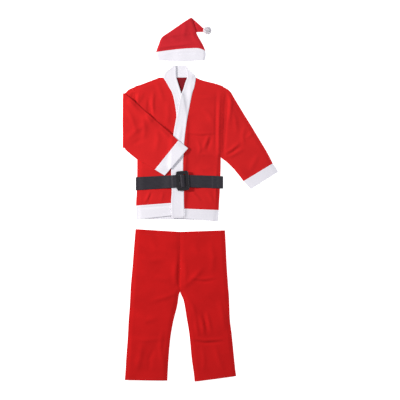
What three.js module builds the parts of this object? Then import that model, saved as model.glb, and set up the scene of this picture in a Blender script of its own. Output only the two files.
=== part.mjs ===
// A child's santa suit laid out flat: hat, wrap jacket with its own belt, and trousers.
// Millimetres. +Z is up from the surface the suit lies on, and +Y runs from the trousers to the hat.
// Left and right in names are the wearer's, so right-hand pieces have negative X.
import * as THREE from 'three';

// ---- cloth, walls and the air between them ----
const FELT = 1.2;          // red non-woven felt, with its nap
const FLEECE = 1.6;        // pale pile cloth of the trims
const STRAP = 1.5;         // belt
const SEAM = 0.3;          // air between pieces that are sewn together or lie on each other
const AIR = 1.5;           // air between the back and the front of a garment
const HAT_AIR = 0.9;

// ---- heights of the underside of each layer of the jacket and trousers ----
const SEWN = FELT + SEAM;                       // a front held down at its side seam
const UNDER = FELT + AIR;                       // the right front, and every other front
const OVER = UNDER + FLEECE + SEAM;             // the left front where it laps over the right one
const HEM_SEWN = FLEECE + SEAM;
const COLLAR = FLEECE + SEAM;                   // the front bands' top ends, on the neck band

// ---- places of the three garments: the jacket's origin is the middle of its bottom edge ----
const TROUSERS_AT = [5, -805];
const HAT_AT = [8, 793];

const finish = (color, roughness, metalness = 0) => new THREE.MeshStandardMaterial({ color, roughness, metalness });
const JACKET_RED = finish('#d02a2d', 0.95);
const TROUSERS_RED = finish('#c62020', 0.95);
const HAT_RED = finish('#c92a34', 0.95);
const WHITE = finish('#eceaf3', 0.95);
const BLACK_VINYL = finish('#35323a', 0.5);
const BLACK_PLASTIC = finish('#201d24', 0.25);

// A short table: the first text names the columns, and each array is a row.
const table = (columns, ...rows) => rows.map((row) => (
  Object.fromEntries(columns.split(' ').map((column, i) => [column, row[i]]))
));

// A triangular hump of height 1 at share `peak` of a line.
const hump = (share, peak) => (share < peak ? share / peak : (1 - share) / (1 - peak));

// The point at a share of a row, which runs from its left end to its right end and may bow in Y.
function pointOn(row, share) {
  const leftY = row.leftY ?? row.y;
  const rightY = row.rightY ?? row.y;
  const bow = row.bow ? row.bow * hump(share, row.peak) : 0;
  return {
    x: THREE.MathUtils.lerp(row.left, row.right, share),
    y: THREE.MathUtils.lerp(leftY, rightY, share) + bow,
  };
}

// Half a seam's gap off both ends of a row.
function narrowed(row) {
  const width = Math.hypot(row.right - row.left, (row.rightY ?? row.y) - (row.leftY ?? row.y));
  const cut = SEAM / 2 / width;
  const from = pointOn({ ...row, bow: 0 }, cut);
  const to = pointOn({ ...row, bow: 0 }, 1 - cut);
  return { ...row, left: from.x, leftY: from.y, right: to.x, rightY: to.y };
}

// Half a seam's gap off the first and last rows, so a piece stops just short of the next one.
function shortened(rows) {
  const moved = (row, next) => {
    const [here, there] = [pointOn(row, 0.5), pointOn(next, 0.5)];
    const reach = Math.hypot(there.x - here.x, there.y - here.y);
    const step = SEAM / 2 / reach;
    const from = { a: pointOn({ ...row, bow: 0 }, 0), b: pointOn({ ...row, bow: 0 }, 1) };
    const to = { a: pointOn({ ...next, bow: 0 }, 0), b: pointOn({ ...next, bow: 0 }, 1) };
    return {
      ...row,
      left: THREE.MathUtils.lerp(from.a.x, to.a.x, step),
      leftY: THREE.MathUtils.lerp(from.a.y, to.a.y, step),
      right: THREE.MathUtils.lerp(from.b.x, to.b.x, step),
      rightY: THREE.MathUtils.lerp(from.b.y, to.b.y, step),
    };
  };
  const last = rows.length - 1;
  return [moved(rows[0], rows[1]), ...rows.slice(1, last), moved(rows[last], rows[last - 1])];
}

// A closed mesh from points and four-sided faces, turned so that its faces point out.
function closedMesh(name, material, points, quads) {
  const triangles = quads.flatMap(([a, b, c, d]) => [[a, b, c], [a, c, d]]);
  const volume = triangles.reduce((sum, [a, b, c]) => (
    sum + points[a].dot(new THREE.Vector3().crossVectors(points[b], points[c]))
  ), 0);
  const outward = volume > 0 ? triangles : triangles.map(([a, b, c]) => [a, c, b]);
  const geometry = new THREE.BufferGeometry().setFromPoints(points);
  geometry.setIndex(outward.flat());
  geometry.computeVertexNormals();
  const mesh = new THREE.Mesh(geometry, material);
  mesh.name = name;
  return mesh;
}

// A wall between two grids of points, rows by columns, closed along its four edges.
function wallMesh(name, material, lower, upper) {
  const rows = lower.length;
  const columns = lower[0].length;
  const low = (j, i) => j * columns + i;
  const high = (j, i) => rows * columns + j * columns + i;
  const quads = [];
  for (let j = 0; j < rows - 1; j += 1) {
    for (let i = 0; i < columns - 1; i += 1) {
      quads.push([high(j, i), high(j, i + 1), high(j + 1, i + 1), high(j + 1, i)]);
      quads.push([low(j, i), low(j + 1, i), low(j + 1, i + 1), low(j, i + 1)]);
    }
    quads.push([low(j, 0), high(j, 0), high(j + 1, 0), low(j + 1, 0)]);
    quads.push([low(j + 1, columns - 1), high(j + 1, columns - 1), high(j, columns - 1), low(j, columns - 1)]);
  }
  for (let i = 0; i < columns - 1; i += 1) {
    quads.push([low(0, i + 1), high(0, i + 1), high(0, i), low(0, i)]);
    quads.push([low(rows - 1, i), high(rows - 1, i), high(rows - 1, i + 1), low(rows - 1, i + 1)]);
  }
  return closedMesh(name, material, [...lower.flat(), ...upper.flat()], quads);
}

// A cut panel. A row of the outline is a line across it; a row of the profile is a line up it, a fold or a flat,
// at the height of the panel's underside. A side that the outline calls sewn is held down at seamLevel.
function panel({ name, material, wall, outline, profile, seamLevel, rise = () => 0 }) {
  const rows = shortened(outline).map(narrowed);
  const last = profile.length - 1;
  const grid = (skin) => rows.map((row) => profile.map((fold, i) => {
    const sewn = row.sewn ?? '';
    const heldDown = (i === 0 && /left|both/.test(sewn)) || (i === last && /right|both/.test(sewn));
    const level = heldDown ? seamLevel : row.level ?? fold.level;
    const { x, y } = pointOn(row, fold.share);
    return new THREE.Vector3(x, y, level + rise(y) + skin * wall);
  }));
  return wallMesh(name, material, grid(0), grid(1));
}

// A tube of cloth pressed flat. A row runs from one pressed edge to the other, and lay sets it on what is below.
function flatTube({ name, material, wall, air, rows, lay = (x, y, h) => new THREE.Vector3(x, y, h) }) {
  const middle = wall + air / 2;
  const edge = [0, Math.PI / 4, Math.PI / 2];
  const flats = [0.2, 0.4, 0.6, 0.8];
  const ring = (row, inset) => {
    const width = Math.hypot(row.right - row.left, (row.rightY ?? row.y) - (row.leftY ?? row.y));
    const half = middle - inset;
    const near = (turn, side) => [inset + half * (1 - Math.cos(turn)), middle + side * half * Math.sin(turn)];
    const far = (turn, side) => [width - near(turn, side)[0], near(turn, side)[1]];
    const across = [
      ...edge.map((turn) => near(turn, -1)),
      ...flats.map((share) => [width * share, middle - half]),
      ...edge.toReversed().map((turn) => far(turn, -1)),
      ...edge.slice(1).map((turn) => far(turn, 1)),
      ...flats.toReversed().map((share) => [width * share, middle + half]),
      ...edge.slice(1).toReversed().map((turn) => near(turn, 1)),
    ];
    return across.map(([distance, h]) => {
      const { x, y } = pointOn(row, distance / width);
      return lay(x, y, h);
    });
  };
  const cut = shortened(rows);
  const outer = cut.map((row) => ring(row, 0));
  const inner = cut.map((row) => ring(row, wall));
  const around = outer[0].length;
  const out = (j, k) => j * around + (k % around);
  const inn = (j, k) => (cut.length + j) * around + (k % around);
  const last = cut.length - 1;
  const quads = [];
  for (let k = 0; k < around; k += 1) {
    for (let j = 0; j < last; j += 1) {
      quads.push([out(j, k), out(j, k + 1), out(j + 1, k + 1), out(j + 1, k)]);
      quads.push([inn(j, k), inn(j + 1, k), inn(j + 1, k + 1), inn(j, k + 1)]);
    }
    quads.push([out(0, k + 1), out(0, k), inn(0, k), inn(0, k + 1)]);
    quads.push([out(last, k), out(last, k + 1), inn(last, k + 1), inn(last, k)]);
  }
  return closedMesh(name, material, [...outer.flat(), ...inner.flat()], quads);
}

// =====================================================================================================
// Jacket. Every panel lies over the belt's back stretch, and climbs onto it over one short slope.
// =====================================================================================================
const BELT_LIFT = STRAP + SEAM;
const BELT_SLOPE = { below: 128, from: 146, to: 224, above: 242 };

function beltRise(y) {
  const { below, from, to, above } = BELT_SLOPE;
  const up = THREE.MathUtils.clamp((y - below) / (from - below), 0, 1);
  const down = THREE.MathUtils.clamp((above - y) / (above - to), 0, 1);
  return BELT_LIFT * Math.min(up, down);
}

// The armhole seam, a straight line on each side of the body: how far it is from the middle at a height y.
const ARMHOLE = { low: 313, high: 665, lowX: 209, highX: 222 };
const seamX = (y) => THREE.MathUtils.mapLinear(y, ARMHOLE.low, ARMHOLE.high, ARMHOLE.lowX, ARMHOLE.highX);

const EVEN = (level) => table('share level', [0, level], [0.25, level], [0.5, level], [0.75, level], [1, level]);
const BAND = table('share level', [0, UNDER], [0.5, UNDER], [1, UNDER]);
const jacket = new THREE.Group();

jacket.add(panel({
  name: 'jacket_back', material: JACKET_RED, wall: FELT, profile: EVEN(0), rise: beltRise,
  outline: table('y left right', [60, -212, 197], [94, -214, 201], [128, -212, 203], [146, -210, 204],
    [185, -210, 205], [224, -211, 207], [242, -209, 208], [ARMHOLE.low, -ARMHOLE.lowX, ARMHOLE.lowX],
    [437, -seamX(437), seamX(437)], [558, -seamX(558), seamX(558)], [ARMHOLE.high, -ARMHOLE.highX, ARMHOLE.highX],
    [677, -190, 198], [690, -155, 150], [700, -129, 112], [712, -98, 85]),
}));

// The side seam is held down; along the armhole the front stays level with the sleeve's upper wall.
const RIGHT_FRONT_FOLDS = table('share level', [0, UNDER], [0.13, UNDER + 0.5], [0.28, UNDER], [0.4, UNDER + 0.6],
  [0.5, UNDER], [0.75, UNDER + 0.3], [1, UNDER]);
jacket.add(panel({
  name: 'jacket_front_right', material: JACKET_RED, wall: FELT, rise: beltRise,
  profile: RIGHT_FRONT_FOLDS, seamLevel: SEWN,
  outline: table('left leftY right rightY sewn', [-215, 72, -33, 86, 'left'], [-214, 100, -31, 100, 'left'],
    [-212, 128, -29, 128, 'left'], [-210, 146, -28, 146, 'left'], [-210, 185, -28, 185, 'left'],
    [-211, 224, -29, 224, 'left'], [-209, 242, -29, 242, 'left'], [-208, 297, -26, 297, 'left'],
    [-ARMHOLE.lowX, 313, -25, 313, ''], [-seamX(437), 437, -19, 437, ''], [-seamX(521), 521, -13, 521, ''],
    [-seamX(558), 558, -17, 558, ''], [-seamX(607), 607, -26, 607, ''], [-seamX(642), 642, -37, 642, ''],
    [-seamX(655), 655, -45, 655, ''], [-ARMHOLE.highX, 665, -51, 665, 'left'],
    [-190, 677, -57, 677, 'left'], [-132, 699, -70, 699, 'left'], [-98, 712, -78, 712, 'left']),
}));

const LEFT_FRONT_FOLDS = table('share level', [0, OVER], [0.13, OVER], [0.34, UNDER], [0.6, UNDER + 0.3],
  [0.74, UNDER], [0.86, UNDER + 0.7], [1, UNDER]);
jacket.add(panel({
  name: 'jacket_front_left', material: JACKET_RED, wall: FELT, rise: beltRise,
  profile: LEFT_FRONT_FOLDS, seamLevel: HEM_SEWN,
  outline: table('left leftY right rightY sewn', [26, 57, 199, 50, 'right'], [25, 94, 201, 94, 'right'],
    [25, 128, 203, 128, 'right'], [25, 146, 204, 146, 'right'], [23, 185, 205, 185, 'right'],
    [21, 224, 207, 224, 'right'], [21, 242, 208, 242, 'right'], [21, 297, 209, 297, 'right'],
    [22, 313, ARMHOLE.lowX, 313, ''], [26, 382, seamX(382), 382, ''], [30, 424, seamX(424), 424, ''],
    [38, 485, seamX(485), 485, ''], [43, 515, seamX(515), 515, ''], [49, 546, seamX(546), 546, ''],
    [60, 604, seamX(604), 604, ''], [67, 636, seamX(642), 642, ''], [76, 661, ARMHOLE.highX, 665, 'right'],
    [79, 676, 194, 678, 'right'], [82, 690, 121, 697, 'right'], [84, 703, 101, 703, 'right'],
    [85, 710, 89, 710, 'right']),
}));

// The front bands: one strip each, from the hem up the front and on beside the neck to the collar's top.
jacket.add(panel({
  name: 'band_right', material: WHITE, wall: FLEECE, profile: BAND, rise: beltRise,
  outline: table('y left right level', [20, -33, 27, UNDER], [86, -33, 27, UNDER], [100, -31, 29, UNDER],
    [128, -29, 31, UNDER], [146, -28, 31, UNDER], [185, -28, 31, UNDER], [224, -29, 30, UNDER],
    [242, -29, 30, UNDER], [297, -26, 33, UNDER], [313, -25, 34, UNDER], [437, -19, 39, UNDER],
    [521, -13, 35, UNDER], [558, -17, 28, UNDER], [607, -26, 20, UNDER], [642, -37, 9, UNDER],
    [655, -45, 5, UNDER], [677, -57, -2, UNDER], [699, -70, -9, UNDER], [712, -78, -13, UNDER],
    [722, -77, -14, COLLAR], [772, -27, -15, COLLAR]),
}));
jacket.add(panel({
  name: 'band_left', material: WHITE, wall: FLEECE, profile: BAND, rise: beltRise,
  outline: table('y left right level', [9, -36, 26, OVER], [57, -38, 26, OVER], [94, -39, 25, OVER],
    [128, -37, 25, OVER], [146, -36, 25, OVER], [185, -38, 23, OVER], [224, -39, 21, OVER], [242, -39, 21, OVER],
    [297, -36, 21, OVER], [313, -35, 22, OVER], [382, -31, 26, OVER], [424, -28, 30, OVER], [485, -18, 38, OVER],
    [515, -12, 43, OVER], [546, -6, 49, OVER], [604, 4, 60, OVER], [636, 14, 67, OVER], [661, 24, 76, OVER],
    [676, 28, 79, OVER], [690, 33, 82, UNDER], [703, 38, 84, UNDER], [712, 41, 85, UNDER],
    [734, 39, 69, COLLAR], [752, 38, 49, COLLAR], [771, 37, 40, COLLAR]),
}));
jacket.add(panel({
  name: 'band_neck', material: WHITE, wall: FLEECE, profile: EVEN(0),
  outline: table('y left right', [712, -78, 85], [722, -77, 79], [734, -65, 69], [752, -47, 49], [773, -26, 40]),
}));

// The hem trims, each as wide as the panel it is sewn to.
jacket.add(panel({
  name: 'hem_back', material: WHITE, wall: FLEECE, profile: EVEN(0),
  outline: table('left leftY right rightY', [-213, 6, 192, -1], [-213, 30, 196, 24], [-212, 60, 197, 60]),
}));
jacket.add(panel({
  name: 'hem_right', material: WHITE, wall: FLEECE, seamLevel: HEM_SEWN, profile: RIGHT_FRONT_FOLDS,
  outline: table('left leftY right rightY sewn', [-213, 2, -33, 22, 'left'], [-215, 8, -33, 27, 'left'],
    [-215, 40, -33, 56, 'left'], [-215, 72, -33, 86, 'left']),
}));
jacket.add(panel({
  name: 'hem_left', material: WHITE, wall: FLEECE, seamLevel: HEM_SEWN, profile: LEFT_FRONT_FOLDS,
  outline: table('left leftY right rightY sewn', [26, 7, 192, -7, 'right'], [26, 13, 196, 0, 'right'],
    [26, 32, 198, 24, 'right'], [26, 57, 199, 50, 'right']),
}));

// The left sleeve and its cuff lie straight out from the armhole.
const LEFT_ARMHOLE = [ARMHOLE.highX, ARMHOLE.high, ARMHOLE.lowX, ARMHOLE.low];
const LEFT_CUFF = [469, 283, 322, 194];
const SLEEVE_COLUMNS = 'left leftY right rightY';
jacket.add(flatTube({
  name: 'sleeve_left', material: JACKET_RED, wall: FELT, air: AIR,
  rows: table(SLEEVE_COLUMNS, LEFT_ARMHOLE, [241, 655, 219, 304], [259, 639, 229, 297], [273, 615, 239, 289],
    [300, 570, 251, 278], [326, 527, 262, 267], [356, 479, 274, 255], [386, 429, 286, 240], [417, 378, 298, 226],
    [446, 328, 311, 209], LEFT_CUFF),
}));
jacket.add(flatTube({
  name: 'cuff_left', material: WHITE, wall: FLEECE, air: AIR,
  rows: table(SLEEVE_COLUMNS, LEFT_CUFF, [483, 263, 340, 173], [496, 241, 358, 153]),
}));

// The right sleeve is laid out as the left one is, then folded up and over across the chest along one line.
const FOLD_X = -275;
const SLEEVE_HEIGHT = 2 * FELT + AIR;
const FOLD_BEND = 3.5;                                   // radius of the bend, at the middle of the sleeve
const FOLD_AXIS = FOLD_BEND + SLEEVE_HEIGHT / 2;         // height of the bend's centre
const FOLD_LENGTH = Math.PI * FOLD_BEND;

function foldOver(x, y, h) {
  const past = FOLD_X - x;
  const radius = FOLD_AXIS - h;
  if (past <= 0) return new THREE.Vector3(x, y, h);
  if (past >= FOLD_LENGTH) return new THREE.Vector3(FOLD_X + past - FOLD_LENGTH, y, FOLD_AXIS + radius);
  const turn = past / FOLD_BEND;
  return new THREE.Vector3(FOLD_X - radius * Math.sin(turn), y, FOLD_AXIS - radius * Math.cos(turn));
}

const BEND_STEPS = 6;
const bendRows = Array.from({ length: BEND_STEPS + 1 }, (_, step) => {
  const x = FOLD_X - (step / BEND_STEPS) * FOLD_LENGTH;
  return { left: x, leftY: 633, right: x, rightY: 360 };
});
const RIGHT_CUFF = [-558, 397, -441, 252];
jacket.add(flatTube({
  name: 'sleeve_right', material: JACKET_RED, wall: FELT, air: AIR, lay: foldOver,
  rows: [
    ...table(SLEEVE_COLUMNS, [-ARMHOLE.highX, ARMHOLE.high, -ARMHOLE.lowX, ARMHOLE.low], [-251, 652, -248, 338]),
    ...bendRows,
    ...table(SLEEVE_COLUMNS, [-296, 627, -296, 349], [-331, 598, -325, 324], [-369, 564, -352, 303],
      [-405, 532, -375, 291], [-441, 500, -393, 282], [-480, 466, -410, 273], [-520, 431, -427, 264],
      RIGHT_CUFF),
  ],
}));
const CUFF_SINK = FLEECE - FELT;                         // the cuff's walls stand this far out of the sleeve's
jacket.add(flatTube({
  name: 'cuff_right', material: WHITE, wall: FLEECE, air: AIR, lay: (x, y, h) => foldOver(x, y, h - CUFF_SINK),
  rows: table(SLEEVE_COLUMNS, RIGHT_CUFF, [-582, 378, -466, 236], [-607, 358, -490, 222]),
}));

// =====================================================================================================
// Belt: one strap round the jacket. Its fixed end is looped round the buckle's centre bar, and its free end
// comes up through the buckle, over that bar, down again and back over the strap.
// =====================================================================================================
const BUCKLE = { x: 19, y: 196, width: 62, height: 98, thick: 3, under: 11.9, bar: 15, centreBar: 10, turn: 5 };
const SLOT = { width: (BUCKLE.width - 2 * BUCKLE.bar - BUCKLE.centreBar) / 2, height: 70 };
const SIDE_BEND = { left: -212.5, right: 217, top: 7.8, bottom: STRAP / 2 };
const BEND_MIDDLE = (SIDE_BEND.top + SIDE_BEND.bottom) / 2;
const BEND_RADIUS = (SIDE_BEND.top - SIDE_BEND.bottom) / 2;

const halfTurn = (x, side) => [-90, -60, -30, 0, 30, 60, 90].map((degrees) => {
  const angle = THREE.MathUtils.degToRad(degrees);
  return { x: x + side * BEND_RADIUS * Math.cos(angle), z: BEND_MIDDLE + BEND_RADIUS * Math.sin(angle) };
});

const strapRoute = [
  ...table('x z', [-124, 9.9], [-75, 10.85], [-38, 10.9], [-31.5, 13.2], [-25, 14.2], [-20, 13], [-14.5, 10.85],
    [8.5, 10.85], [11.15, 13], [11.15, 15.6], [13.2, 17.75], [24.8, 17.75], [26.85, 15.6], [26.85, 11.2],
    [29, 9.05], [60, 9.05], [90, 8.6], [140, 7.8], [180, 7.8]),
  ...halfTurn(SIDE_BEND.right, 1).toReversed(),
  ...table('x z', [110, STRAP / 2], [0, STRAP / 2], [-110, STRAP / 2]),
  ...halfTurn(SIDE_BEND.left, -1),
  ...table('x z', [-160, 7.8], [-124, 8.1], [-75, 9.05], [-30, 9.05], [10.4, 9.05], [12.95, 11.6], [12.95, 14.9],
    [14, 15.95], [24, 15.95], [25.05, 14.9], [25.05, 11.9], [24, 10.85], [15.2, 10.85]),
];

const STRAP_LINE = table('x y half', [-216, 181, 33], [19, 194, 31], [221, 188, 31]);

// The strap's middle and half width at x: it climbs to the buckle in front and runs straight behind.
function strapAt(x, z) {
  const [left, middle, right] = STRAP_LINE;
  const between = (a, b) => {
    const share = THREE.MathUtils.clamp((x - a.x) / (b.x - a.x), 0, 1);
    return { y: THREE.MathUtils.lerp(a.y, b.y, share), half: THREE.MathUtils.lerp(a.half, b.half, share) };
  };
  if (z < BEND_MIDDLE) return between(left, right);
  return x < middle.x ? between(left, middle) : between(middle, right);
}

// Near the buckle the strap's folds lean with it.
const TURN_REACH = 90;
const TURN_FULL = 40;
function leanAt(x) {
  const away = Math.abs(x - BUCKLE.x);
  const share = THREE.MathUtils.clamp((TURN_REACH - away) / (TURN_REACH - TURN_FULL), 0, 1);
  return Math.tan(THREE.MathUtils.degToRad(BUCKLE.turn)) * share;
}

function strapMesh() {
  const last = strapRoute.length - 1;
  const offset = strapRoute.map((point, i) => {
    const before = strapRoute[Math.max(i - 1, 0)];
    const after = strapRoute[Math.min(i + 1, last)];
    const a = new THREE.Vector2(point.x - before.x, point.z - before.z).normalize();
    const b = new THREE.Vector2(after.x - point.x, after.z - point.z).normalize();
    const along = a.clone().add(b).normalize();
    const lengthen = 1 / along.dot(b.lengthSq() > 0 ? b : a);
    return new THREE.Vector2(-along.y, along.x).multiplyScalar((STRAP / 2) * lengthen);
  });
  const skin = (side) => strapRoute.map((point, i) => {
    const { y, half } = strapAt(point.x, point.z);
    const x = point.x + side * offset[i].x;
    const z = point.z + side * offset[i].y;
    const lean = z > BEND_MIDDLE ? leanAt(point.x) : 0;
    return [-1, 0, 1].map((edge) => {
      const across = y + edge * half;
      return new THREE.Vector3(x - lean * (across - BUCKLE.y), across, z);
    });
  });
  return wallMesh('belt', BLACK_VINYL, skin(-1), skin(1));
}
jacket.add(strapMesh());

function roundedBox(path, x, y, width, height, radius) {
  const [left, right, bottom, top] = [x - width / 2, x + width / 2, y - height / 2, y + height / 2];
  path.moveTo(left + radius, bottom);
  path.lineTo(right - radius, bottom);
  path.absarc(right - radius, bottom + radius, radius, -Math.PI / 2, 0);
  path.lineTo(right, top - radius);
  path.absarc(right - radius, top - radius, radius, 0, Math.PI / 2);
  path.lineTo(left + radius, top);
  path.absarc(left + radius, top - radius, radius, Math.PI / 2, Math.PI);
  path.lineTo(left, bottom + radius);
  path.absarc(left + radius, bottom + radius, radius, Math.PI, Math.PI * 1.5);
  return path;
}

function buckleMesh() {
  const bevel = 0.6;
  const frame = roundedBox(new THREE.Shape(), 0, 0, BUCKLE.width, BUCKLE.height, 9);
  const slotX = (BUCKLE.centreBar + SLOT.width) / 2;
  for (const x of [-slotX, slotX]) frame.holes.push(roundedBox(new THREE.Path(), x, 0, SLOT.width, SLOT.height, 2));
  const geometry = new THREE.ExtrudeGeometry(frame, {
    depth: BUCKLE.thick - 2 * bevel, bevelThickness: bevel, bevelSize: bevel, bevelOffset: -bevel, bevelSegments: 2,
    curveSegments: 5,
  });
  const mesh = new THREE.Mesh(geometry, BLACK_PLASTIC);
  mesh.name = 'buckle';
  mesh.position.set(BUCKLE.x, BUCKLE.y, BUCKLE.under + bevel);
  mesh.rotation.z = THREE.MathUtils.degToRad(BUCKLE.turn);
  return mesh;
}
jacket.add(buckleMesh());

// =====================================================================================================
// Trousers: a back and a front panel to each leg. The origin is below the crotch, level with the hems.
// =====================================================================================================
const trousers = new THREE.Group();
trousers.position.set(...TROUSERS_AT, 0);

const LEGS = {
  right: {
    outline: table('left leftY right rightY seams', [-276, 5, -63, 2, 'both'], [-274, 30, -62, 27, 'both'],
      [-268, 128, -56, 128, 'both'], [-261, 220, -47, 220, 'both'], [-257, 300, -33, 300, 'both'],
      [-251, 380, -13, 380, 'both'], [-248, 438, -5, 434, 'both'], [-247, 460, 0, 450, 'outer'],
      [-237, 575, 0, 575, 'outer'], [-229, 680, 0, 672, 'outer'], [-222, 760, 0, 746, 'outer']),
    folds: table('share level', [0, UNDER], [0.1, UNDER + 0.6], [0.3, UNDER], [0.5, UNDER + 0.3], [0.72, UNDER],
      [0.9, UNDER + 0.4], [1, UNDER]),
    outer: 'left',
  },
  left: {
    outline: table('left leftY right rightY seams', [73, -3, 281, 25, 'both'], [71, 20, 277, 54, 'both'],
      [58, 116, 269, 130, 'both'], [47, 231, 259, 231, 'both'], [33, 317, 249, 317, 'both'],
      [18, 403, 246, 403, 'both'], [5, 434, 244, 438, 'both'], [0, 450, 242, 460, 'outer'],
      [0, 575, 234, 575, 'outer'], [0, 672, 229, 680, 'outer'], [0, 746, 225, 754, 'outer']),
    folds: table('share level', [0, UNDER], [0.12, UNDER + 0.5], [0.3, UNDER], [0.55, UNDER + 0.7], [0.7, UNDER],
      [0.9, UNDER + 0.5], [1, UNDER]),
    outer: 'right',
  },
};

for (const [side, leg] of Object.entries(LEGS)) {
  const outline = leg.outline.map((row) => ({ ...row, sewn: row.seams === 'outer' ? leg.outer : 'both' }));
  trousers.add(panel({
    name: `trousers_back_${side}`, material: TROUSERS_RED, wall: FELT, profile: EVEN(0), outline: leg.outline,
  }));
  trousers.add(panel({
    name: `trousers_front_${side}`, material: TROUSERS_RED, wall: FELT, outline, profile: leg.folds,
    seamLevel: SEWN,
  }));
}

// =====================================================================================================
// Hat: a cone pressed flat, its top folded down behind along one line, with a brim round the opening.
// The origin is the middle of the brim's bottom edge.
// =====================================================================================================
const hat = new THREE.Group();
hat.position.set(...HAT_AT, 0);

const FOLD_LEFT = new THREE.Vector2(-98, 113);           // the fold line's two ends, on the cone's side seams
const FOLD_RIGHT = new THREE.Vector2(55, 216);
const TIP = new THREE.Vector2(17.5, 319);                // where the cone's point was before it was folded
const CONE_HEIGHT = 2 * FELT + HAT_AIR;
const TIP_BEND = 0.5;                                    // inside radius of the fold
const MAIN_LIFT = 2 * TIP_BEND + CONE_HEIGHT;            // the cone's underside above its folded tip
const TIP_BEND_MIDDLE = TIP_BEND + CONE_HEIGHT / 2;
const TIP_BEND_LENGTH = Math.PI * TIP_BEND_MIDDLE;

const foldLine = FOLD_RIGHT.clone().sub(FOLD_LEFT).normalize();
const foldNormal = new THREE.Vector2(-foldLine.y, foldLine.x);

// h counts from the underside of the cone's back panel.
function foldUnder(x, y, h, lift) {
  const from = new THREE.Vector2(x, y).sub(FOLD_LEFT);
  const past = from.dot(foldNormal);
  if (past <= 1e-6) return new THREE.Vector3(x, y, lift + h);
  const foot = FOLD_LEFT.clone().addScaledVector(foldLine, from.dot(foldLine));
  const radius = TIP_BEND + h;
  const turn = Math.min(past / TIP_BEND_MIDDLE, Math.PI);
  const beyond = Math.max(past - TIP_BEND_LENGTH, 0);
  const spot = foot.addScaledVector(foldNormal, radius * Math.sin(turn) - beyond);
  return new THREE.Vector3(spot.x, spot.y, MAIN_LIFT - TIP_BEND + radius * Math.cos(turn));
}

// Rows of the cone past the fold line, by the share of the way from that line to the point on each side.
const tipHeight = TIP.clone().sub(FOLD_LEFT).dot(foldNormal);
function tipRow([leftShare, rightShare]) {
  const left = FOLD_LEFT.clone().lerp(TIP, leftShare);
  const right = FOLD_RIGHT.clone().lerp(TIP, rightShare);
  return { left: left.x, leftY: left.y, right: right.x, rightY: right.y, lift: MAIN_LIFT };
}
const BEND_SHARES = [0, 0.25, 0.5, 0.75, 1].map((step) => {
  const share = (step * TIP_BEND_LENGTH) / tipHeight;
  return [share, share];
});
// The last row is where the point goes in between the pompom and the table.
const TIP_SHARES = [[0.3, 0.3], [0.6, 0.57], [0.8, 0.74], [0.925, 0.832]];
const HAT_ROWS = [
  ...table('left leftY right rightY lift bow peak', [-123, 46, 124, 53, 0, 15, 0.8], [-115, 70, 113, 79, 0, 0, 0.5],
    [-108, 88, 103, 98, 0, 0, 0.5], [-102, 106, 85, 133, MAIN_LIFT, 0, 0.5], [-100, 109, 77, 160, MAIN_LIFT, 0, 0.5],
    [-99, 111, 67, 188, MAIN_LIFT, 0, 0.5]),
  ...[...BEND_SHARES, ...TIP_SHARES].map(tipRow),
];

function conePanel(name, heights) {
  const rows = shortened(HAT_ROWS).map(narrowed);
  const grid = (skin) => rows.map((row) => heights.map(({ share, h }) => {
    const { x, y } = pointOn(row, share);
    return foldUnder(x, y, h + skin * FELT, row.lift);
  }));
  return wallMesh(name, HAT_RED, grid(0), grid(1));
}
const FRONT_H = FELT + HAT_AIR;
hat.add(conePanel('hat_back', table('share h', [0, 0], [0.25, 0], [0.5, 0], [0.8, 0], [1, 0])));
hat.add(conePanel('hat_front', table('share h', [0, SEWN], [0.1, FRONT_H], [0.3, FRONT_H], [0.55, FRONT_H],
  [0.8, FRONT_H], [0.92, FRONT_H], [1, SEWN])));

hat.add(flatTube({
  name: 'hat_brim', material: WHITE, wall: FLEECE, air: HAT_AIR,
  rows: table('left leftY right rightY bow peak', [-119, 6, 120, 6, -6, 0.5], [-124, 14, 125, 14, -6, 0.5],
    [-126, 28, 126, 28, 2, 0.6], [-126, 39, 126, 43, 10, 0.75], [-123, 46, 124, 53, 15, 0.8]),
}));

// The pompom: a ball of pile, pressed flat where it rests.
const POMPOM = { x: 134, y: 152, radius: 19.5, height: 14 };
function pompomMesh() {
  const geometry = new THREE.SphereGeometry(POMPOM.radius, 24, 16);
  geometry.rotateX(Math.PI / 2);
  const position = geometry.getAttribute('position');
  for (let i = 0; i < position.count; i += 1) {
    position.setZ(i, Math.max(position.getZ(i), -POMPOM.height));
  }
  geometry.computeVertexNormals();
  const mesh = new THREE.Mesh(geometry, WHITE);
  mesh.name = 'pompom';
  mesh.position.set(POMPOM.x, POMPOM.y, POMPOM.height);
  return mesh;
}
hat.add(pompomMesh());

// ---- the suit, with its origin under the middle of its box ----
const suit = new THREE.Group();
suit.add(jacket, trousers, hat);
suit.updateMatrixWorld(true);
const box = new THREE.Box3().setFromObject(suit, true);
const middle = box.getCenter(new THREE.Vector3());
suit.position.set(-middle.x, -middle.y, -box.min.z);

export default suit;
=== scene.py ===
import math

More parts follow.
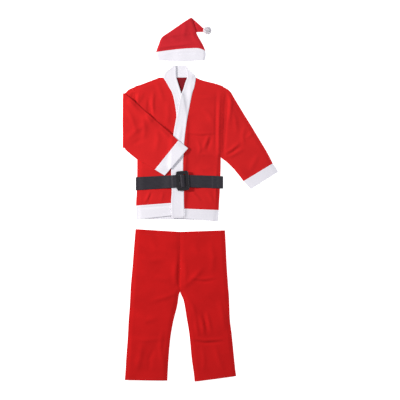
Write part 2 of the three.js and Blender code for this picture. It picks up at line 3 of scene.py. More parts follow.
import bpy
import numpy as np
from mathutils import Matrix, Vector


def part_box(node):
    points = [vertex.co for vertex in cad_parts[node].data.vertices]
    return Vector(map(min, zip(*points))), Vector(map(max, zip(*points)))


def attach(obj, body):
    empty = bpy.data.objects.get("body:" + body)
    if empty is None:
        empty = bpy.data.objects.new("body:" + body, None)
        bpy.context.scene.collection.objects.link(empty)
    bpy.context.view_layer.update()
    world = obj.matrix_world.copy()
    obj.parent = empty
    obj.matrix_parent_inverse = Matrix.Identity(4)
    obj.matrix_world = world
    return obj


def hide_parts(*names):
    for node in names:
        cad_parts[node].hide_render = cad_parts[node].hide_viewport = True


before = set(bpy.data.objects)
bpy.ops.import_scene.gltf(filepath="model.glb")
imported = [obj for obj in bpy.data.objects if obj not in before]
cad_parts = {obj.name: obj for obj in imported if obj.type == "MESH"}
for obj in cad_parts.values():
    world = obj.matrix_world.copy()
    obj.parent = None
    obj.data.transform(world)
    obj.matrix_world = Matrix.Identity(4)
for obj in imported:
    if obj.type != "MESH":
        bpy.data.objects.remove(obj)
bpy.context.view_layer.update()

BODY = "root"
MM = 0.001

# ---------------------------------------------------------------------------------------------------------
# Table, lights and camera. The suit lies on a white painted board. A low light from the left draws its
# creases, a larger and weaker one on the right opens their shadows, and it is looked at from straight above.
# ---------------------------------------------------------------------------------------------------------
jacket_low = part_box("jacket_back")[0]
neck_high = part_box("band_neck")[1]
ARMHOLE_HALF = 221.85                       # mm, half the back's width between the shoulder ends
NECK_TOP = 772.85                           # mm, the collar's top above the jacket's bottom edge
JACKET = (jacket_low.x / MM + ARMHOLE_HALF, neck_high.y / MM - NECK_TOP)    # middle of the jacket's bottom


def linear(hex_colour, alpha=1.0):
    """An sRGB hex colour as the linear RGBA that Blender's sockets take."""
    channels = [int(hex_colour[i:i + 2], 16) / 255 for i in (1, 3, 5)]
    return [c / 12.92 if c <= 0.04045 else ((c + 0.055) / 1.055) ** 2.4 for c in channels] + [alpha]


def add_node(tree, kind, settings=None, inputs=None):
    """A node with its settings, and its inputs set to values or linked from other nodes' sockets."""
    node = tree.nodes.new(kind)
    for name, value in (settings or {}).items():
        setattr(node, name, value)
    for name, value in (inputs or {}).items():
        if isinstance(value, bpy.types.NodeSocket):
            tree.links.new(value, node.inputs[name])
        else:
            node.inputs[name].default_value = value
    return node


def surface(name, sockets):
    """A material of one Principled shader with constants on its own sockets; returns it, its tree and shader."""
    material = bpy.data.materials.new(name)
    material.use_nodes = True
    tree = material.node_tree
    tree.nodes.clear()
    shader = add_node(tree, "ShaderNodeBsdfPrincipled", inputs=sockets)
    add_node(tree, "ShaderNodeOutputMaterial", inputs={"Surface": shader.outputs[0]})
    return material, tree, shader


BOARD_HALF = 4.5                            # metres
BOARD_TOP = -0.0004                         # metres, just clear of the cloth's underside
board_mesh = bpy.data.meshes.new("board")
board_mesh.from_pydata([(x * BOARD_HALF, y * BOARD_HALF, 0) for x, y in ((-1, -1), (1, -1), (1, 1), (-1, 1))], [],
                       [(0, 1, 2, 3)])
board = bpy.data.objects.new("board", board_mesh)
bpy.context.collection.objects.link(board)
board.location.z = BOARD_TOP
board_paint, _, _ = surface("board_matt_white_paint", {
    "Base Color": linear("#f7f7f7"), "Roughness": 0.9, "Specular IOR Level": 0.1,
    "Emission Color": linear("#ffffff"), "Emission Strength": 0.85})
board_mesh.materials.append(board_paint)


def area_light(name, place, target, size, watts, colour):
    """A round soft light, placed and aimed in metres."""
    lamp = bpy.data.lights.new(name, "AREA")
    lamp.shape = "DISK"
    lamp.size = size
    lamp.energy = watts
    lamp.color = linear(colour)[:3]
    holder = bpy.data.objects.new(name, lamp)
    holder.location = place
    holder.rotation_euler = (Vector(target) - Vector(place)).to_track_quat("-Z", "Y").to_euler()
    bpy.context.collection.objects.link(holder)


area_light("key_left_head_end", (-3.1, 1.0, 1.6), (-0.05, 0.1, 0), 0.6, 122, "#fffbf9")
area_light("fill_right", (2.2, 0.9, 3.0), (0, -0.1, 0), 2.0, 38, "#f8f9ff")

world = bpy.data.worlds.new("studio")
world.use_nodes = True
world.node_tree.nodes["Background"].inputs["Color"].default_value = linear("#fbfbff")
world.node_tree.nodes["Background"].inputs["Strength"].default_value = 0.3
bpy.context.scene.world = world
bpy.context.scene.view_settings.view_transform = "Standard"

CAMERA_VIEW = 2.0                           # metres across the frame at the suit
CAMERA_AIM = (105, 100)                     # mm from the middle of the jacket's bottom, where the camera looks
camera_data = bpy.data.cameras.new("overhead")
camera_data.lens = 85
camera_data.sensor_width = 36
camera = bpy.data.objects.new("overhead", camera_data)
camera_height = CAMERA_VIEW * camera_data.lens / camera_data.sensor_width
camera.location = ((JACKET[0] + CAMERA_AIM[0]) * MM, (JACKET[1] + CAMERA_AIM[1]) * MM, camera_height)
bpy.context.collection.objects.link(camera)
bpy.context.scene.camera = camera

# ---------------------------------------------------------------------------------------------------------
# Trousers. Four panels of red non-woven felt, a front and a back to each leg, sewn at the sides, inside the
# legs and up the middle; waist and hems are turned in and stitched. Each garment is laid layer on layer.
# ---------------------------------------------------------------------------------------------------------
GRID = 2.5                                  # mm, cell of the height maps that the layers are laid on
STEP = 4.0                                  # mm, spacing of the cloth's own mesh
FELT = 1.2                                  # mm, wall of the felt
FLEECE = 1.6                                # mm, wall of the trims
LAYER_GAP = 0.25                            # mm, air between two layers that touch
SEAM_GAP = 0.02                             # mm, each piece stops this far short of a seam
EDGE_INSETS = np.array([0, 0.35, 1.0, 2.2])     # mm from an edge, columns that round it off
NARROW = 14                                 # mm, a piece narrower than this has those columns closer together
BEND_ROWS = 13                              # rows of points in a bend
BEND_CLEAR = 0.4                            # mm, an ordinary row has to be farther than this from those


def monotone(at, values, to):
    """Values at `to` on a smooth curve through (at, values) that never overshoots them."""
    gaps = np.diff(at)
    slopes = np.diff(values) / gaps
    tangents = np.zeros(len(at))
    both = slopes[:-1] * slopes[1:]
    total = np.where(np.abs(slopes[:-1] + slopes[1:]) < 1e-9, 1.0, slopes[:-1] + slopes[1:])
    tangents[1:-1] = np.where(both > 0, 2 * both / total, 0.0)
    tangents[0], tangents[-1] = slopes[0], slopes[-1]
    i = np.clip(np.searchsorted(at, to, side="right") - 1, 0, len(gaps) - 1)
    u = (to - at[i]) / gaps[i]
    return ((2 * u ** 3 - 3 * u ** 2 + 1) * values[i] + (u ** 3 - 2 * u ** 2 + u) * gaps[i] * tangents[i]
            + (3 * u ** 2 - 2 * u ** 3) * values[i + 1] + (u ** 3 - u ** 2) * gaps[i] * tangents[i + 1])


def spaced(length, step):
    """Distances along a length: close together at both ends, then evenly `step` apart."""
    scale = min(1.0, length / 12)
    ends = EDGE_INSETS * scale
    count = max(int(round((length - 2 * ends[-1]) / step)), 2)
    return np.concatenate([ends, np.linspace(ends[-1], length - ends[-1], count + 1)[1:-1], length - ends[::-1]])


def cut_piece(rows, step=STEP, dense=None):
    """The points of a piece between its edges. A row is left x, left y, right x, right y in mm, with how far it
    bows up in y and at which share of it, if it does. Rows are closer together between the two named by
    dense. Gives x, y, and how far each point is from the nearest side and from the nearest end."""
    rows = np.array([list(row) + [0, 0.5] if len(row) == 4 else row for row in rows], float)
    middle = (rows[:, :2] + rows[:, 2:4]) / 2
    travel = np.concatenate([[0], np.cumsum(np.linalg.norm(np.diff(middle, axis=0), axis=1))])
    along = SEAM_GAP + spaced(travel[-1] - 2 * SEAM_GAP, step)
    if dense:
        between = np.linspace(travel[dense[0]], travel[dense[1]], BEND_ROWS)
        away = np.abs(along[:, None] - between[None, :]).min(axis=1) > BEND_CLEAR
        along = np.sort(np.concatenate([along[away], between]))
    ends = np.column_stack([monotone(travel, rows[:, k], along) for k in range(6)])
    widths = np.hypot(ends[:, 2] - ends[:, 0], ends[:, 3] - ends[:, 1])
    share = spaced(widths.max(), step) / widths.max()
    inset = np.minimum(share, 1 - share)[None, :] * widths.max() * np.minimum(1.0, widths / NARROW)[:, None]
    inset = np.where(share[None, :] < 0.5, inset, widths[:, None] - inset)
    at_edge = (np.minimum(share, 1 - share) * widths.max() <= EDGE_INSETS[-1] + 1e-6)[None, :]
    across = np.where(at_edge, inset, share[None, :] * widths[:, None])
    across = SEAM_GAP + across * (1 - 2 * SEAM_GAP / widths[:, None])
    part = across / widths[:, None]
    peak = ends[:, 5:6]
    hump = np.where(part < peak, np.sin(part / peak * math.pi / 2),
                    np.sin((1 - part) / (1 - peak) * math.pi / 2))
    return {"x": ends[:, 0:1] + (ends[:, 2:3] - ends[:, 0:1]) * part,
            "y": ends[:, 1:2] + (ends[:, 3:4] - ends[:, 1:2]) * part + ends[:, 4:5] * hump,
            "side": np.minimum(across, widths[:, None] - across) - SEAM_GAP,
            "end": np.minimum(along - SEAM_GAP, travel[-1] - SEAM_GAP - along)[:, None] * np.ones_like(part)}


def blurred(field):
    """One pass of a small binomial blur, with the border repeated."""
    wide = np.pad(field, 1, mode="edge")
    rows = (wide[:-2] + 2 * wide[1:-1] + wide[2:]) / 4
    return (rows[:, :-2] + 2 * rows[:, 1:-1] + rows[:, 2:]) / 4


def widest(field):
    """Each cell raised to the highest of its neighbours."""
    wide = np.pad(field, 1, mode="edge")
    rows = np.maximum(np.maximum(wide[:-2], wide[1:-1]), wide[2:])
    return np.maximum(np.maximum(rows[:, :-2], rows[:, 1:-1]), rows[:, 2:])


CREASE_DEPTH = 1.5                          # every crease is this many times as deep as it is listed


class Pile:
    """Height maps of layers of cloth laid on each other, in a garment's own mm."""

    def __init__(self, low, high):
        self.low = np.array(low, float)
        xs = np.arange(low[0], high[0] + GRID, GRID)
        ys = np.arange(low[1], high[1] + GRID, GRID)
        self.x, self.y = np.meshgrid(xs, ys)
        self.top = np.zeros_like(self.x)

    def under(self, piece):
        """Which cells a piece covers: those inside the outline of its points."""
        x, y = piece["x"], piece["y"]
        ring_x = np.concatenate([x[0, ::4], x[::4, -1], x[-1, ::-4], x[::-4, 0]])
        ring_y = np.concatenate([y[0, ::4], y[::4, -1], y[-1, ::-4], y[::-4, 0]])
        inside = np.zeros(self.x.shape, bool)
        for x0, y0, x1, y1 in zip(ring_x, ring_y, np.roll(ring_x, -1), np.roll(ring_y, -1)):
            if y0 == y1:
                continue
            crosses = (self.y >= min(y0, y1)) & (self.y < max(y0, y1))
            inside ^= crosses & (self.x < x0 + (self.y - y0) * (x1 - x0) / (y1 - y0))
        return inside

    def lay(self, covers, air=0.0, soft=40):
        """Lays one layer of pieces, each (cells, thickness), over what is there. The cloth bridges steps over
        about sqrt(soft) cells, and air lifts it more. Returns the height of its underside."""
        mask = np.any([cells for cells, _ in covers], axis=0)
        floor = np.where(widest(self.top) > 0, widest(self.top) + LAYER_GAP, 0.0)
        height = floor.copy()
        weight = mask.astype(float)
        share = np.maximum(blurred(weight), 1e-6)
        for _ in range(soft):
            height = np.maximum(floor, np.where(mask, blurred(height * weight) / share, floor))
        height = height + np.where(mask, air, 0.0)
        known = weight.copy()
        for _ in range(4):
            spread = blurred(height * known) / np.maximum(blurred(known), 1e-6)
            height = np.where(known > 0, height, spread)
            known = np.maximum(known, (blurred(known) > 0).astype(float))
        for cells, thickness in covers:
            self.top = np.where(cells, height + thickness, self.top)
        return height

    def at(self, field, x, y):
        """A field's value at points, between its cells."""
        i = np.clip((x - self.low[0]) / GRID, 0, field.shape[1] - 1.001)
        j = np.clip((y - self.low[1]) / GRID, 0, field.shape[0] - 1.001)
        i0, j0 = i.astype(int), j.astype(int)
        u, v = i - i0, j - j0
        return ((field[j0, i0] * (1 - u) + field[j0, i0 + 1] * u) * (1 - v)
                + (field[j0 + 1, i0] * (1 - u) + field[j0 + 1, i0 + 1] * u) * v)

    def away(self, points):
        """Distance from a line through points, and the share of the way along it."""
        points = np.array(points, float)
        lengths = np.linalg.norm(np.diff(points, axis=0), axis=1)
        best = np.full(self.x.shape, 1e9)
        share = np.zeros(self.x.shape)
        done = 0.0
        for (x0, y0), (x1, y1), length in zip(points[:-1], points[1:], lengths):
            t = np.clip(((self.x - x0) * (x1 - x0) + (self.y - y0) * (y1 - y0)) / length ** 2, 0, 1)
            gap = np.hypot(self.x - x0 - t * (x1 - x0), self.y - y0 - t * (y1 - y0))
            share = np.where(gap < best, (done + t * length) / lengths.sum(), share)
            best = np.minimum(gap, best)
            done += length
        return best, share

    def creases(self, rows):
        """Ridges, and troughs where the height is negative, each (height, width, points) in mm. They die away
        towards both ends."""
        total = np.zeros(self.x.shape)
        for height, width, points in rows:
            gap, share = self.away(points)
            total += height * np.sin(np.pi * np.clip(share, 0.02, 0.98)) ** 0.7 * np.exp(-(gap / width) ** 2)
        return total

    def held(self, lines, reach=26.0):
        """0 on the lines where a layer is sewn down, rising to 1 at `reach` from them."""
        closest = np.min([self.away(line)[0] for line in lines], axis=0)
        share = np.clip(closest / reach, 0, 1)
        return share * share * (3 - 2 * share)

    def swell(self, seed, longest=260.0, shortest=90.0):
        """Gentle unevenness between -1 and 1, the same each time."""
        rng = np.random.default_rng(seed)
        total = np.zeros(self.x.shape)
        for _ in range(9):
            wave = 2 * math.pi / rng.uniform(shortest, longest)
            turn, start = rng.uniform(0, 2 * math.pi, 2)
            total += np.cos(wave * (self.x * math.cos(turn) + self.y * math.sin(turn)) + start)
        return total / 5

    def puffed(self, air, uneven, seed, creases, seams, reach=26.0, least=0.03, waves=(260.0, 90.0)):
        """Air under a layer in mm, uneven and creased, and the least of it where the layer is sewn down."""
        air = air + uneven * self.swell(seed, *waves) + CREASE_DEPTH * self.creases(creases)
        return np.maximum(air * self.held(seams, reach), least)


def joined(name, points, quads, material, origin):
    """A mesh object from points in a garment's mm, with its faces turned outward."""
    points = np.asarray(points, float).copy()
    points[:, 0] += origin[0]
    points[:, 1] += origin[1]
    points *= MM
    quads = np.asarray(quads)
    a, b, c, d = (points[quads[:, k]] for k in range(4))
    volume = (np.einsum("ij,ij->i", a, np.cross(b, c)) + np.einsum("ij,ij->i", a, np.cross(c, d))).sum()
    if volume < 0:
        quads = quads[:, ::-1]
    mesh = bpy.data.meshes.new(name)
    mesh.from_pydata(points.tolist(), [], quads.tolist())
    mesh.polygons.foreach_set("use_smooth", [True] * len(quads))
    mesh.materials.append(material)
    made = bpy.data.objects.new(name, mesh)
    bpy.context.collection.objects.link(made)
    return made


def edge_round(distance, radius):
    """0.12 at an edge, and 1 from `radius` inside it, on a quarter circle."""
    share = 1 - np.clip(distance / radius, 0, 1)
    return np.maximum(np.sqrt(1 - share ** 2), 0.12)


def wall_skins(piece, underside, thickness, roll=1.0, turned=0.0, turned_width=7.0):
    """Heights of a wall's two skins: its edges rounded, and thicker by `turned` where they are turned in."""
    rounding = edge_round(piece["side"], roll) * edge_round(piece["end"], roll)
    from_edge = np.minimum(piece["side"], piece["end"])
    fold = turned * np.exp(-((from_edge - turned_width / 2) / (turned_width / 2)) ** 2) * rounding
    return (underside + thickness * 0.5 * (1 - rounding),
            underside + thickness * 0.5 * (1 + rounding) + fold)


def closed_wall(name, low, high, material, origin):
    """The wall between two skins, each a grid of x, y and z, closed round its edge."""
    rows, columns = low[0].shape
    grid = np.arange(rows * columns).reshape(rows, columns)
    top = grid + rows * columns
    quads = [np.stack([top[:-1, :-1], top[:-1, 1:], top[1:, 1:], top[1:, :-1]], -1).reshape(-1, 4),
             np.stack([grid[:-1, :-1], grid[1:, :-1], grid[1:, 1:], grid[:-1, 1:]], -1).reshape(-1, 4)]
    ring = np.concatenate([grid[0, :-1], grid[:-1, -1], grid[-1, :0:-1], grid[:0:-1, 0]])
    after = np.roll(ring, -1)
    quads.append(np.stack([ring, after, after + rows * columns, ring + rows * columns], -1))
    points = np.concatenate([np.stack(skin, -1).reshape(-1, 3) for skin in (low, high)])
    return joined(name, points, np.concatenate(quads), material, origin)


def wall_of(name, piece, underside, thickness, material, origin, **edges):
    """The wall of a cut piece whose underside lies at these heights."""
    low, high = wall_skins(piece, underside, thickness, **edges)
    return closed_wall(name, (piece["x"], piece["y"], low), (piece["x"], piece["y"], high), material, origin)


def finish_piece(piece, node):
    """Every piece of the suit is in the one body, and stands for its plain solid."""
    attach(piece, BODY)
    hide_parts(node)


def declare(piece, layers=1):
    """Works out a sheet's flat width and length from its outline, as many layers of it as one length of cloth makes;
    it keeps none of them.
    """
    x, y = piece["x"], piece["y"]
    down = np.hypot(x[-1].mean() - x[0].mean(), y[-1].mean() - y[0].mean())
    across = np.hypot(x[:, -1] - x[:, 0], y[:, -1] - y[:, 0])
    corners = (x[1:, 1:] - x[:-1, :-1]) * (y[1:, :-1] - y[:-1, 1:])
    others = (x[1:, :-1] - x[:-1, 1:]) * (y[1:, 1:] - y[:-1, :-1])
    area = abs((corners - others).sum()) / 2 * layers * MM * MM
    width, length = across.max() * layers * MM, max(down, area / (across.max() * layers * MM) / MM) * MM
    while area > width * length:
        length *= 1.01


def coloured_by(pattern, tree, shader, dark, light, low=0.0, high=1.0):
    """Colours a surface from dark, where a pattern is low, to light."""
    ramp = add_node(tree, "ShaderNodeValToRGB", inputs={"Fac": pattern})
    for element, position, colour in zip(ramp.color_ramp.elements, (low, high), (dark, light)):
        element.position, element.color = position, linear(colour)
    tree.links.new(ramp.outputs["Color"], shader.inputs["Base Color"])


def raised_by(pattern, tree, shader, strength, distance):
    """Raises a surface by a pattern, in its shading only."""
    bump = add_node(tree, "ShaderNodeBump", inputs={"Strength": strength, "Distance": distance, "Height": pattern})
    tree.links.new(bump.outputs["Normal"], shader.inputs["Normal"])


def felt(name, colour, shade, seed):
    """Non-woven polyester felt, needle-punched and pressed: matt, faintly clouded where the fibres lie thicker,
    with short tangled fibres. The fibres are drawn 2.5 mm wide, coarser than real ones, so that they show."""
    material, tree, shader = surface(name, {"Roughness": 0.95, "Specular IOR Level": 0.08,
                                            "Sheen Weight": 0.05, "Sheen Roughness": 0.5})
    place = add_node(tree, "ShaderNodeTexCoord")
    shifted = add_node(tree, "ShaderNodeMapping", inputs={"Vector": place.outputs["Object"],
                                                          "Location": (seed, seed * 0.7, 0)})
    clouds = add_node(tree, "ShaderNodeTexNoise", inputs={
        "Vector": shifted.outputs[0], "Scale": 1 / 0.09, "Detail": 4.0, "Roughness": 0.5})
    fibres = add_node(tree, "ShaderNodeTexNoise", inputs={
        "Vector": shifted.outputs[0], "Scale": 1 / 0.0025, "Detail": 6.0, "Roughness": 0.7, "Distortion": 1.2})
    blend = add_node(tree, "ShaderNodeMath", {"operation": "MULTIPLY_ADD"}, {
        0: fibres.outputs["Fac"], 1: 0.8, 2: clouds.outputs["Fac"]})
    coloured_by(blend.outputs[0], tree, shader, shade, colour, 0.55, 1.0)
    raised_by(fibres.outputs["Fac"], tree, shader, 0.25, 0.0005)
    return material


TROUSERS = (JACKET[0] + 5, JACKET[1] - 805)
trousers_felt = felt("trousers_red_needled_felt", "#d51b1c", "#c61819", 3.1)
# left x, left y, right x, right y, from the hem up
LEG_RIGHT = [(-276, 5, -63, 2), (-274, 30, -62, 27), (-268, 128, -56, 128), (-261, 220, -47, 220),
             (-257, 300, -33, 300), (-251, 380, -13, 380), (-248, 438, -5, 434), (-247, 460, 0, 450),
             (-237, 575, 0, 575), (-229, 680, 0, 672), (-222, 760, 0, 746)]
LEG_LEFT = [(73, -3, 281, 25), (71, 20, 277, 54), (58, 116, 269, 130), (47, 231, 259, 231), (33, 317, 249, 317),
            (18, 403, 246, 403), (5, 434, 244, 438), (0, 450, 242, 460), (0, 575, 234, 575),
            (0, 672, 229, 680), (0, 746, 225, 754)]
legs = {"right": cut_piece(LEG_RIGHT), "left": cut_piece(LEG_LEFT)}
trousers_pile = Pile((-300, -20), (300, 780))
leg_cells = {side: trousers_pile.under(leg) for side, leg in legs.items()}
back_height = trousers_pile.lay([(cells, FELT) for cells in leg_cells.values()], soft=0)

TROUSER_SEAMS = [[(-276, 5), (-261, 220), (-251, 380), (-237, 575), (-222, 760)],
                 [(281, 25), (259, 231), (246, 403), (234, 575), (225, 754)],
                 [(-63, 2), (-56, 128), (-33, 300), (-13, 380), (-2, 440)],
                 [(73, -3), (58, 116), (33, 317), (18, 403), (2, 442)]]
TROUSER_CREASES = [                         # height, width, points
    (-3.4, 6, [(-2, 640), (-3, 560), (-5, 490), (0, 448)]), (-2.0, 12, [(0, 765), (0, 650), (-1, 520)]),
    (2.6, 13, [(-22, 600), (-26, 530), (-20, 474)]), (2.0, 14, [(24, 600), (28, 530), (20, 466)]),
    (2.2, 14, [(-16, 474), (-60, 505), (-130, 525)]), (2.3, 13, [(18, 470), (62, 510), (115, 565)]),
    (1.9, 12, [(-18, 440), (-70, 420), (-150, 400)]), (1.9, 12, [(24, 430), (62, 380), (84, 300)]),
    (1.5, 8, [(45, 522), (110, 510), (188, 520)]), (-1.3, 7, [(52, 506), (120, 496), (174, 502)]),
    (2.2, 8, [(68, 216), (120, 205), (218, 210)]), (-1.7, 7, [(66, 200), (130, 190), (214, 196)]),
    (2.6, 10, [(95, 335), (112, 290), (120, 230)]), (2.3, 10, [(132, 350), (144, 300), (156, 245)]),
    (-1.7, 8, [(112, 345), (128, 300), (138, 240)]), (2.0, 10, [(75, 315), (84, 262), (94, 220)]),
    (1.9, 13, [(195, 410), (214, 330), (226, 250)]), (2.0, 14, [(170, 190), (190, 120), (218, 50)]),
    (1.7, 12, [(110, 175), (120, 110), (118, 45)]), (1.5, 16, [(-210, 625), (-150, 600), (-70, 612)]),
    (1.9, 16, [(-222, 335), (-170, 302), (-108, 315)]), (1.4, 13, [(-245, 212), (-170, 204), (-66, 216)]),
    (1.8, 12, [(-88, 255), (-98, 170), (-86, 85)]), (2.0, 15, [(-188, 195), (-200, 120), (-218, 45)]),
    (1.6, 14, [(150, 705), (166, 620), (160, 535)]), (1.6, 16, [(60, 695), (90, 640), (132, 618)]),
    (1.5, 18, [(-150, 725), (-120, 660), (-58, 640)]), (-1.4, 12, [(-130, 165), (-152, 110), (-150, 55)])]
front_height = trousers_pile.lay(
    [(cells, FELT) for cells in leg_cells.values()],
    air=trousers_pile.puffed(3.6, 1.0, 11, TROUSER_CREASES, TROUSER_SEAMS, reach=24, least=0.02), soft=4)
for side, leg in legs.items():
    back = wall_of(f"trousers_back_{side}_panel", leg, trousers_pile.at(back_height, leg["x"], leg["y"]),
                   FELT, trousers_felt, TROUSERS)
    front = wall_of(f"trousers_front_{side}_panel", leg, trousers_pile.at(front_height, leg["x"], leg["y"]),
                    FELT, trousers_felt, TROUSERS, roll=1.6, turned=0.35, turned_width=10)
    finish_piece(back, f"trousers_back_{side}")
    finish_piece(front, f"trousers_front_{side}")
    declare(leg)
    declare(leg)

# ---------------------------------------------------------------------------------------------------------
# Jacket, how it lies. Back, fronts, sleeves and trims are cut flat and sewn edge to edge, so pieces that meet
# share one layer. Each layer lies over the ones below: belt, back, right front, left front, folded sleeve.
# ---------------------------------------------------------------------------------------------------------
STRAP = 1.5                                 # mm, wall of the belt
ARMHOLE = {"low": 313, "high": 665, "low_x": 209, "high_x": 222}


def armhole_x(y):
    """How far the armhole seam is from the jacket's middle at height y."""
    share = (y - ARMHOLE["low"]) / (ARMHOLE["high"] - ARMHOLE["low"])
    return ARMHOLE["low_x"] + share * (ARMHOLE["high_x"] - ARMHOLE["low_x"])


def level_rows(*rows):
    """Rows given as y, left x and right x."""
    return [(left, y, right, y) for y, left, right in rows]


BACK = level_rows((60, -212, 197), (94, -214, 201), (128, -212, 203), (185, -210, 205), (242, -209, 208),
                  (313, -209, 209), *((y, -armhole_x(y), armhole_x(y)) for y in (328, 437, 558)),
                  (665, -222, 222), (677, -190, 198), (690, -155, 150), (700, -129, 112), (712, -98, 85))
FRONT_RIGHT = [(-215, 72, -33, 86), (-214, 100, -31, 100), (-212, 128, -29, 128), (-210, 185, -28, 185),
               (-209, 242, -29, 242), (-208, 297, -26, 297), (-209, 313, -25, 313),
               *((-armhole_x(y), y, right, y)
                 for y, right in ((437, -19), (521, -13), (558, -17), (607, -26), (642, -37))),
               (-222, 665, -51, 665), (-190, 677, -57, 677), (-132, 699, -70, 699), (-98, 712, -78, 712)]
FRONT_LEFT = [(26, 57, 199, 50), (25, 94, 201, 94), (25, 146, 204, 146), (23, 185, 205, 185), (21, 242, 208, 242),
              (21, 297, 209, 297), (22, 313, 209, 313),
              *((left, y, armhole_x(y), y)
                for left, y in ((22.9, 328), (26, 382), (30, 424), (38, 485), (49, 546), (60, 604))),
              (67, 636, armhole_x(642), 642), (76, 661, 222, 665), (79, 676, 194, 678), (82, 690, 121, 697),
              (84, 703, 101, 703), (85, 710, 89, 710)]
BAND_RIGHT = level_rows((20, -33, 27), (86, -33, 27), (128, -29, 31), (185, -28, 31), (242, -29, 30),
                        (297, -26, 33), (313, -25, 34), (437, -19, 39), (521, -13, 35), (558, -17, 28),
                        (607, -26, 20), (642, -37, 9), (655, -45, 5), (677, -57, -2), (699, -70, -9),
                        (712, -78, -13), (722, -77, -14), (772, -27, -15))
BAND_LEFT = level_rows((9, -36, 26), (57, -38, 26), (94, -39, 25), (146, -36, 25), (185, -38, 23), (242, -39, 21),
                       (297, -36, 21), (313, -35, 22), (328, -34.1, 22.9), (382, -31, 26), (424, -28, 30),
                       (485, -18, 38), (546, -6, 49), (604, 4, 60), (636, 14, 67), (661, 24, 76), (676, 28, 79),
                       (690, 33, 82), (703, 38, 84), (712, 41, 85), (734, 39, 69), (752, 38, 49), (771, 37, 40))
BAND_NECK = level_rows((712, -78, 85), (722, -77, 79), (734, -65, 69), (752, -47, 49), (773, -26, 40))
HEM_BACK = [(-213, 6, 192, -1), (-213, 30, 196, 24), (-212, 60, 197, 60)]
HEM_RIGHT = [(-213, 2, -33, 22), (-215, 8, -33, 27), (-215, 40, -33, 56), (-215, 72, -33, 86)]
HEM_LEFT = [(26, 7, 192, -7), (26, 13, 196, 0), (26, 32, 198, 24), (26, 57, 199, 50)]
# Sleeves run from the armhole to the wrist, with the shoulder's edge on the left of each row.
SLEEVE_LEFT = [(222, 665, 209, 313), (241, 655, 219, 304), (259, 639, 229, 297), (273, 615, 239, 289),
               (300, 570, 251, 278), (326, 527, 262, 267), (356, 479, 274, 255), (386, 429, 286, 240),
               (417, 378, 298, 226), (446, 328, 311, 209), (469, 283, 322, 194)]
CUFF_LEFT = [(469, 283, 322, 194), (483, 263, 340, 173), (496, 241, 358, 153)]
FOLD_X = -275                               # the line that the right sleeve is folded over on
FOLD_LENGTH = 11.0                          # length of cloth in the bend
SLEEVE_RIGHT = [(-222, 665, -209, 313), (-251, 652, -248, 338), (FOLD_X, 633, FOLD_X, 360),
                (FOLD_X - FOLD_LENGTH, 633, FOLD_X - FOLD_LENGTH, 360), (-296, 627, -296, 349),
                (-331, 598, -325, 324), (-369, 564, -352, 303), (-405, 532, -375, 291), (-441, 500, -393, 282),
                (-480, 466, -410, 273), (-520, 431, -427, 264), (-558, 397, -441, 252)]
CUFF_RIGHT = [(-558, 397, -441, 252), (-582, 378, -466, 236), (-607, 358, -490, 222)]

cuts = {name: cut_piece(rows) for name, rows in {
    "back": BACK, "front_right": FRONT_RIGHT, "front_left": FRONT_LEFT, "band_right": BAND_RIGHT,
    "band_left": BAND_LEFT, "band_neck": BAND_NECK, "hem_back": HEM_BACK, "hem_right": HEM_RIGHT,
    "hem_left": HEM_LEFT, "sleeve_left": SLEEVE_LEFT, "cuff_left": CUFF_LEFT, "cuff_right": CUFF_RIGHT}.items()}
cuts["sleeve_right"] = cut_piece(SLEEVE_RIGHT, dense=(2, 3))


def folded_over(piece):
    """A right sleeve's piece where it lies after the fold, and where it lies before it."""
    after = dict(piece, x=np.where(piece["x"] < FOLD_X - FOLD_LENGTH, 2 * FOLD_X - FOLD_LENGTH - piece["x"], FOLD_X))
    before = dict(piece, x=np.maximum(piece["x"], FOLD_X))
    return before, after


jacket_pile = Pile((-330, -30), (530, 810))
cells = {name: jacket_pile.under(piece) for name, piece in cuts.items() if "_right" not in name or
         name.startswith(("front", "band", "hem"))}
cells["sleeve_before_fold"] = jacket_pile.under(cut_piece(SLEEVE_RIGHT[:3]))
cells["sleeve_after_fold"] = jacket_pile.under(folded_over(cut_piece(SLEEVE_RIGHT[3:]))[1])
cells["cuff_after_fold"] = jacket_pile.under(folded_over(cuts["cuff_right"])[1])


def strap_line(x):
    """The middle and half width of the belt behind, at x."""
    return np.interp(x, [-216, 221], [181, 188]), np.interp(x, [-216, 221], [33, 31])


def front_line(x):
    """The middle and half width of the belt in front: it climbs towards the buckle."""
    return np.interp(x, [-216, 19, 221], [181, 195.3, 188]), np.interp(x, [-216, 19, 221], [33, 31, 31])


BELT_ENDS = (-213, 217)                     # mm, where the belt turns round the jacket's sides


def strap_cells(line, left=BELT_ENDS[0], right=BELT_ENDS[1]):
    """Which cells a stretch of the belt covers."""
    middle, half = line(jacket_pile.x)
    return (np.abs(jacket_pile.y - middle) < half) & (jacket_pile.x > left) & (jacket_pile.x < right)


jacket_pile.top = np.where(strap_cells(strap_line), STRAP, 0.0)
layer = {}
layer["back"] = jacket_pile.lay([(cells["back"], FELT), (cells["hem_back"], FLEECE), (cells["band_neck"], FLEECE),
                                 (cells["sleeve_left"], FELT), (cells["cuff_left"], FLEECE),
                                 (cells["sleeve_before_fold"], FELT)], soft=30)

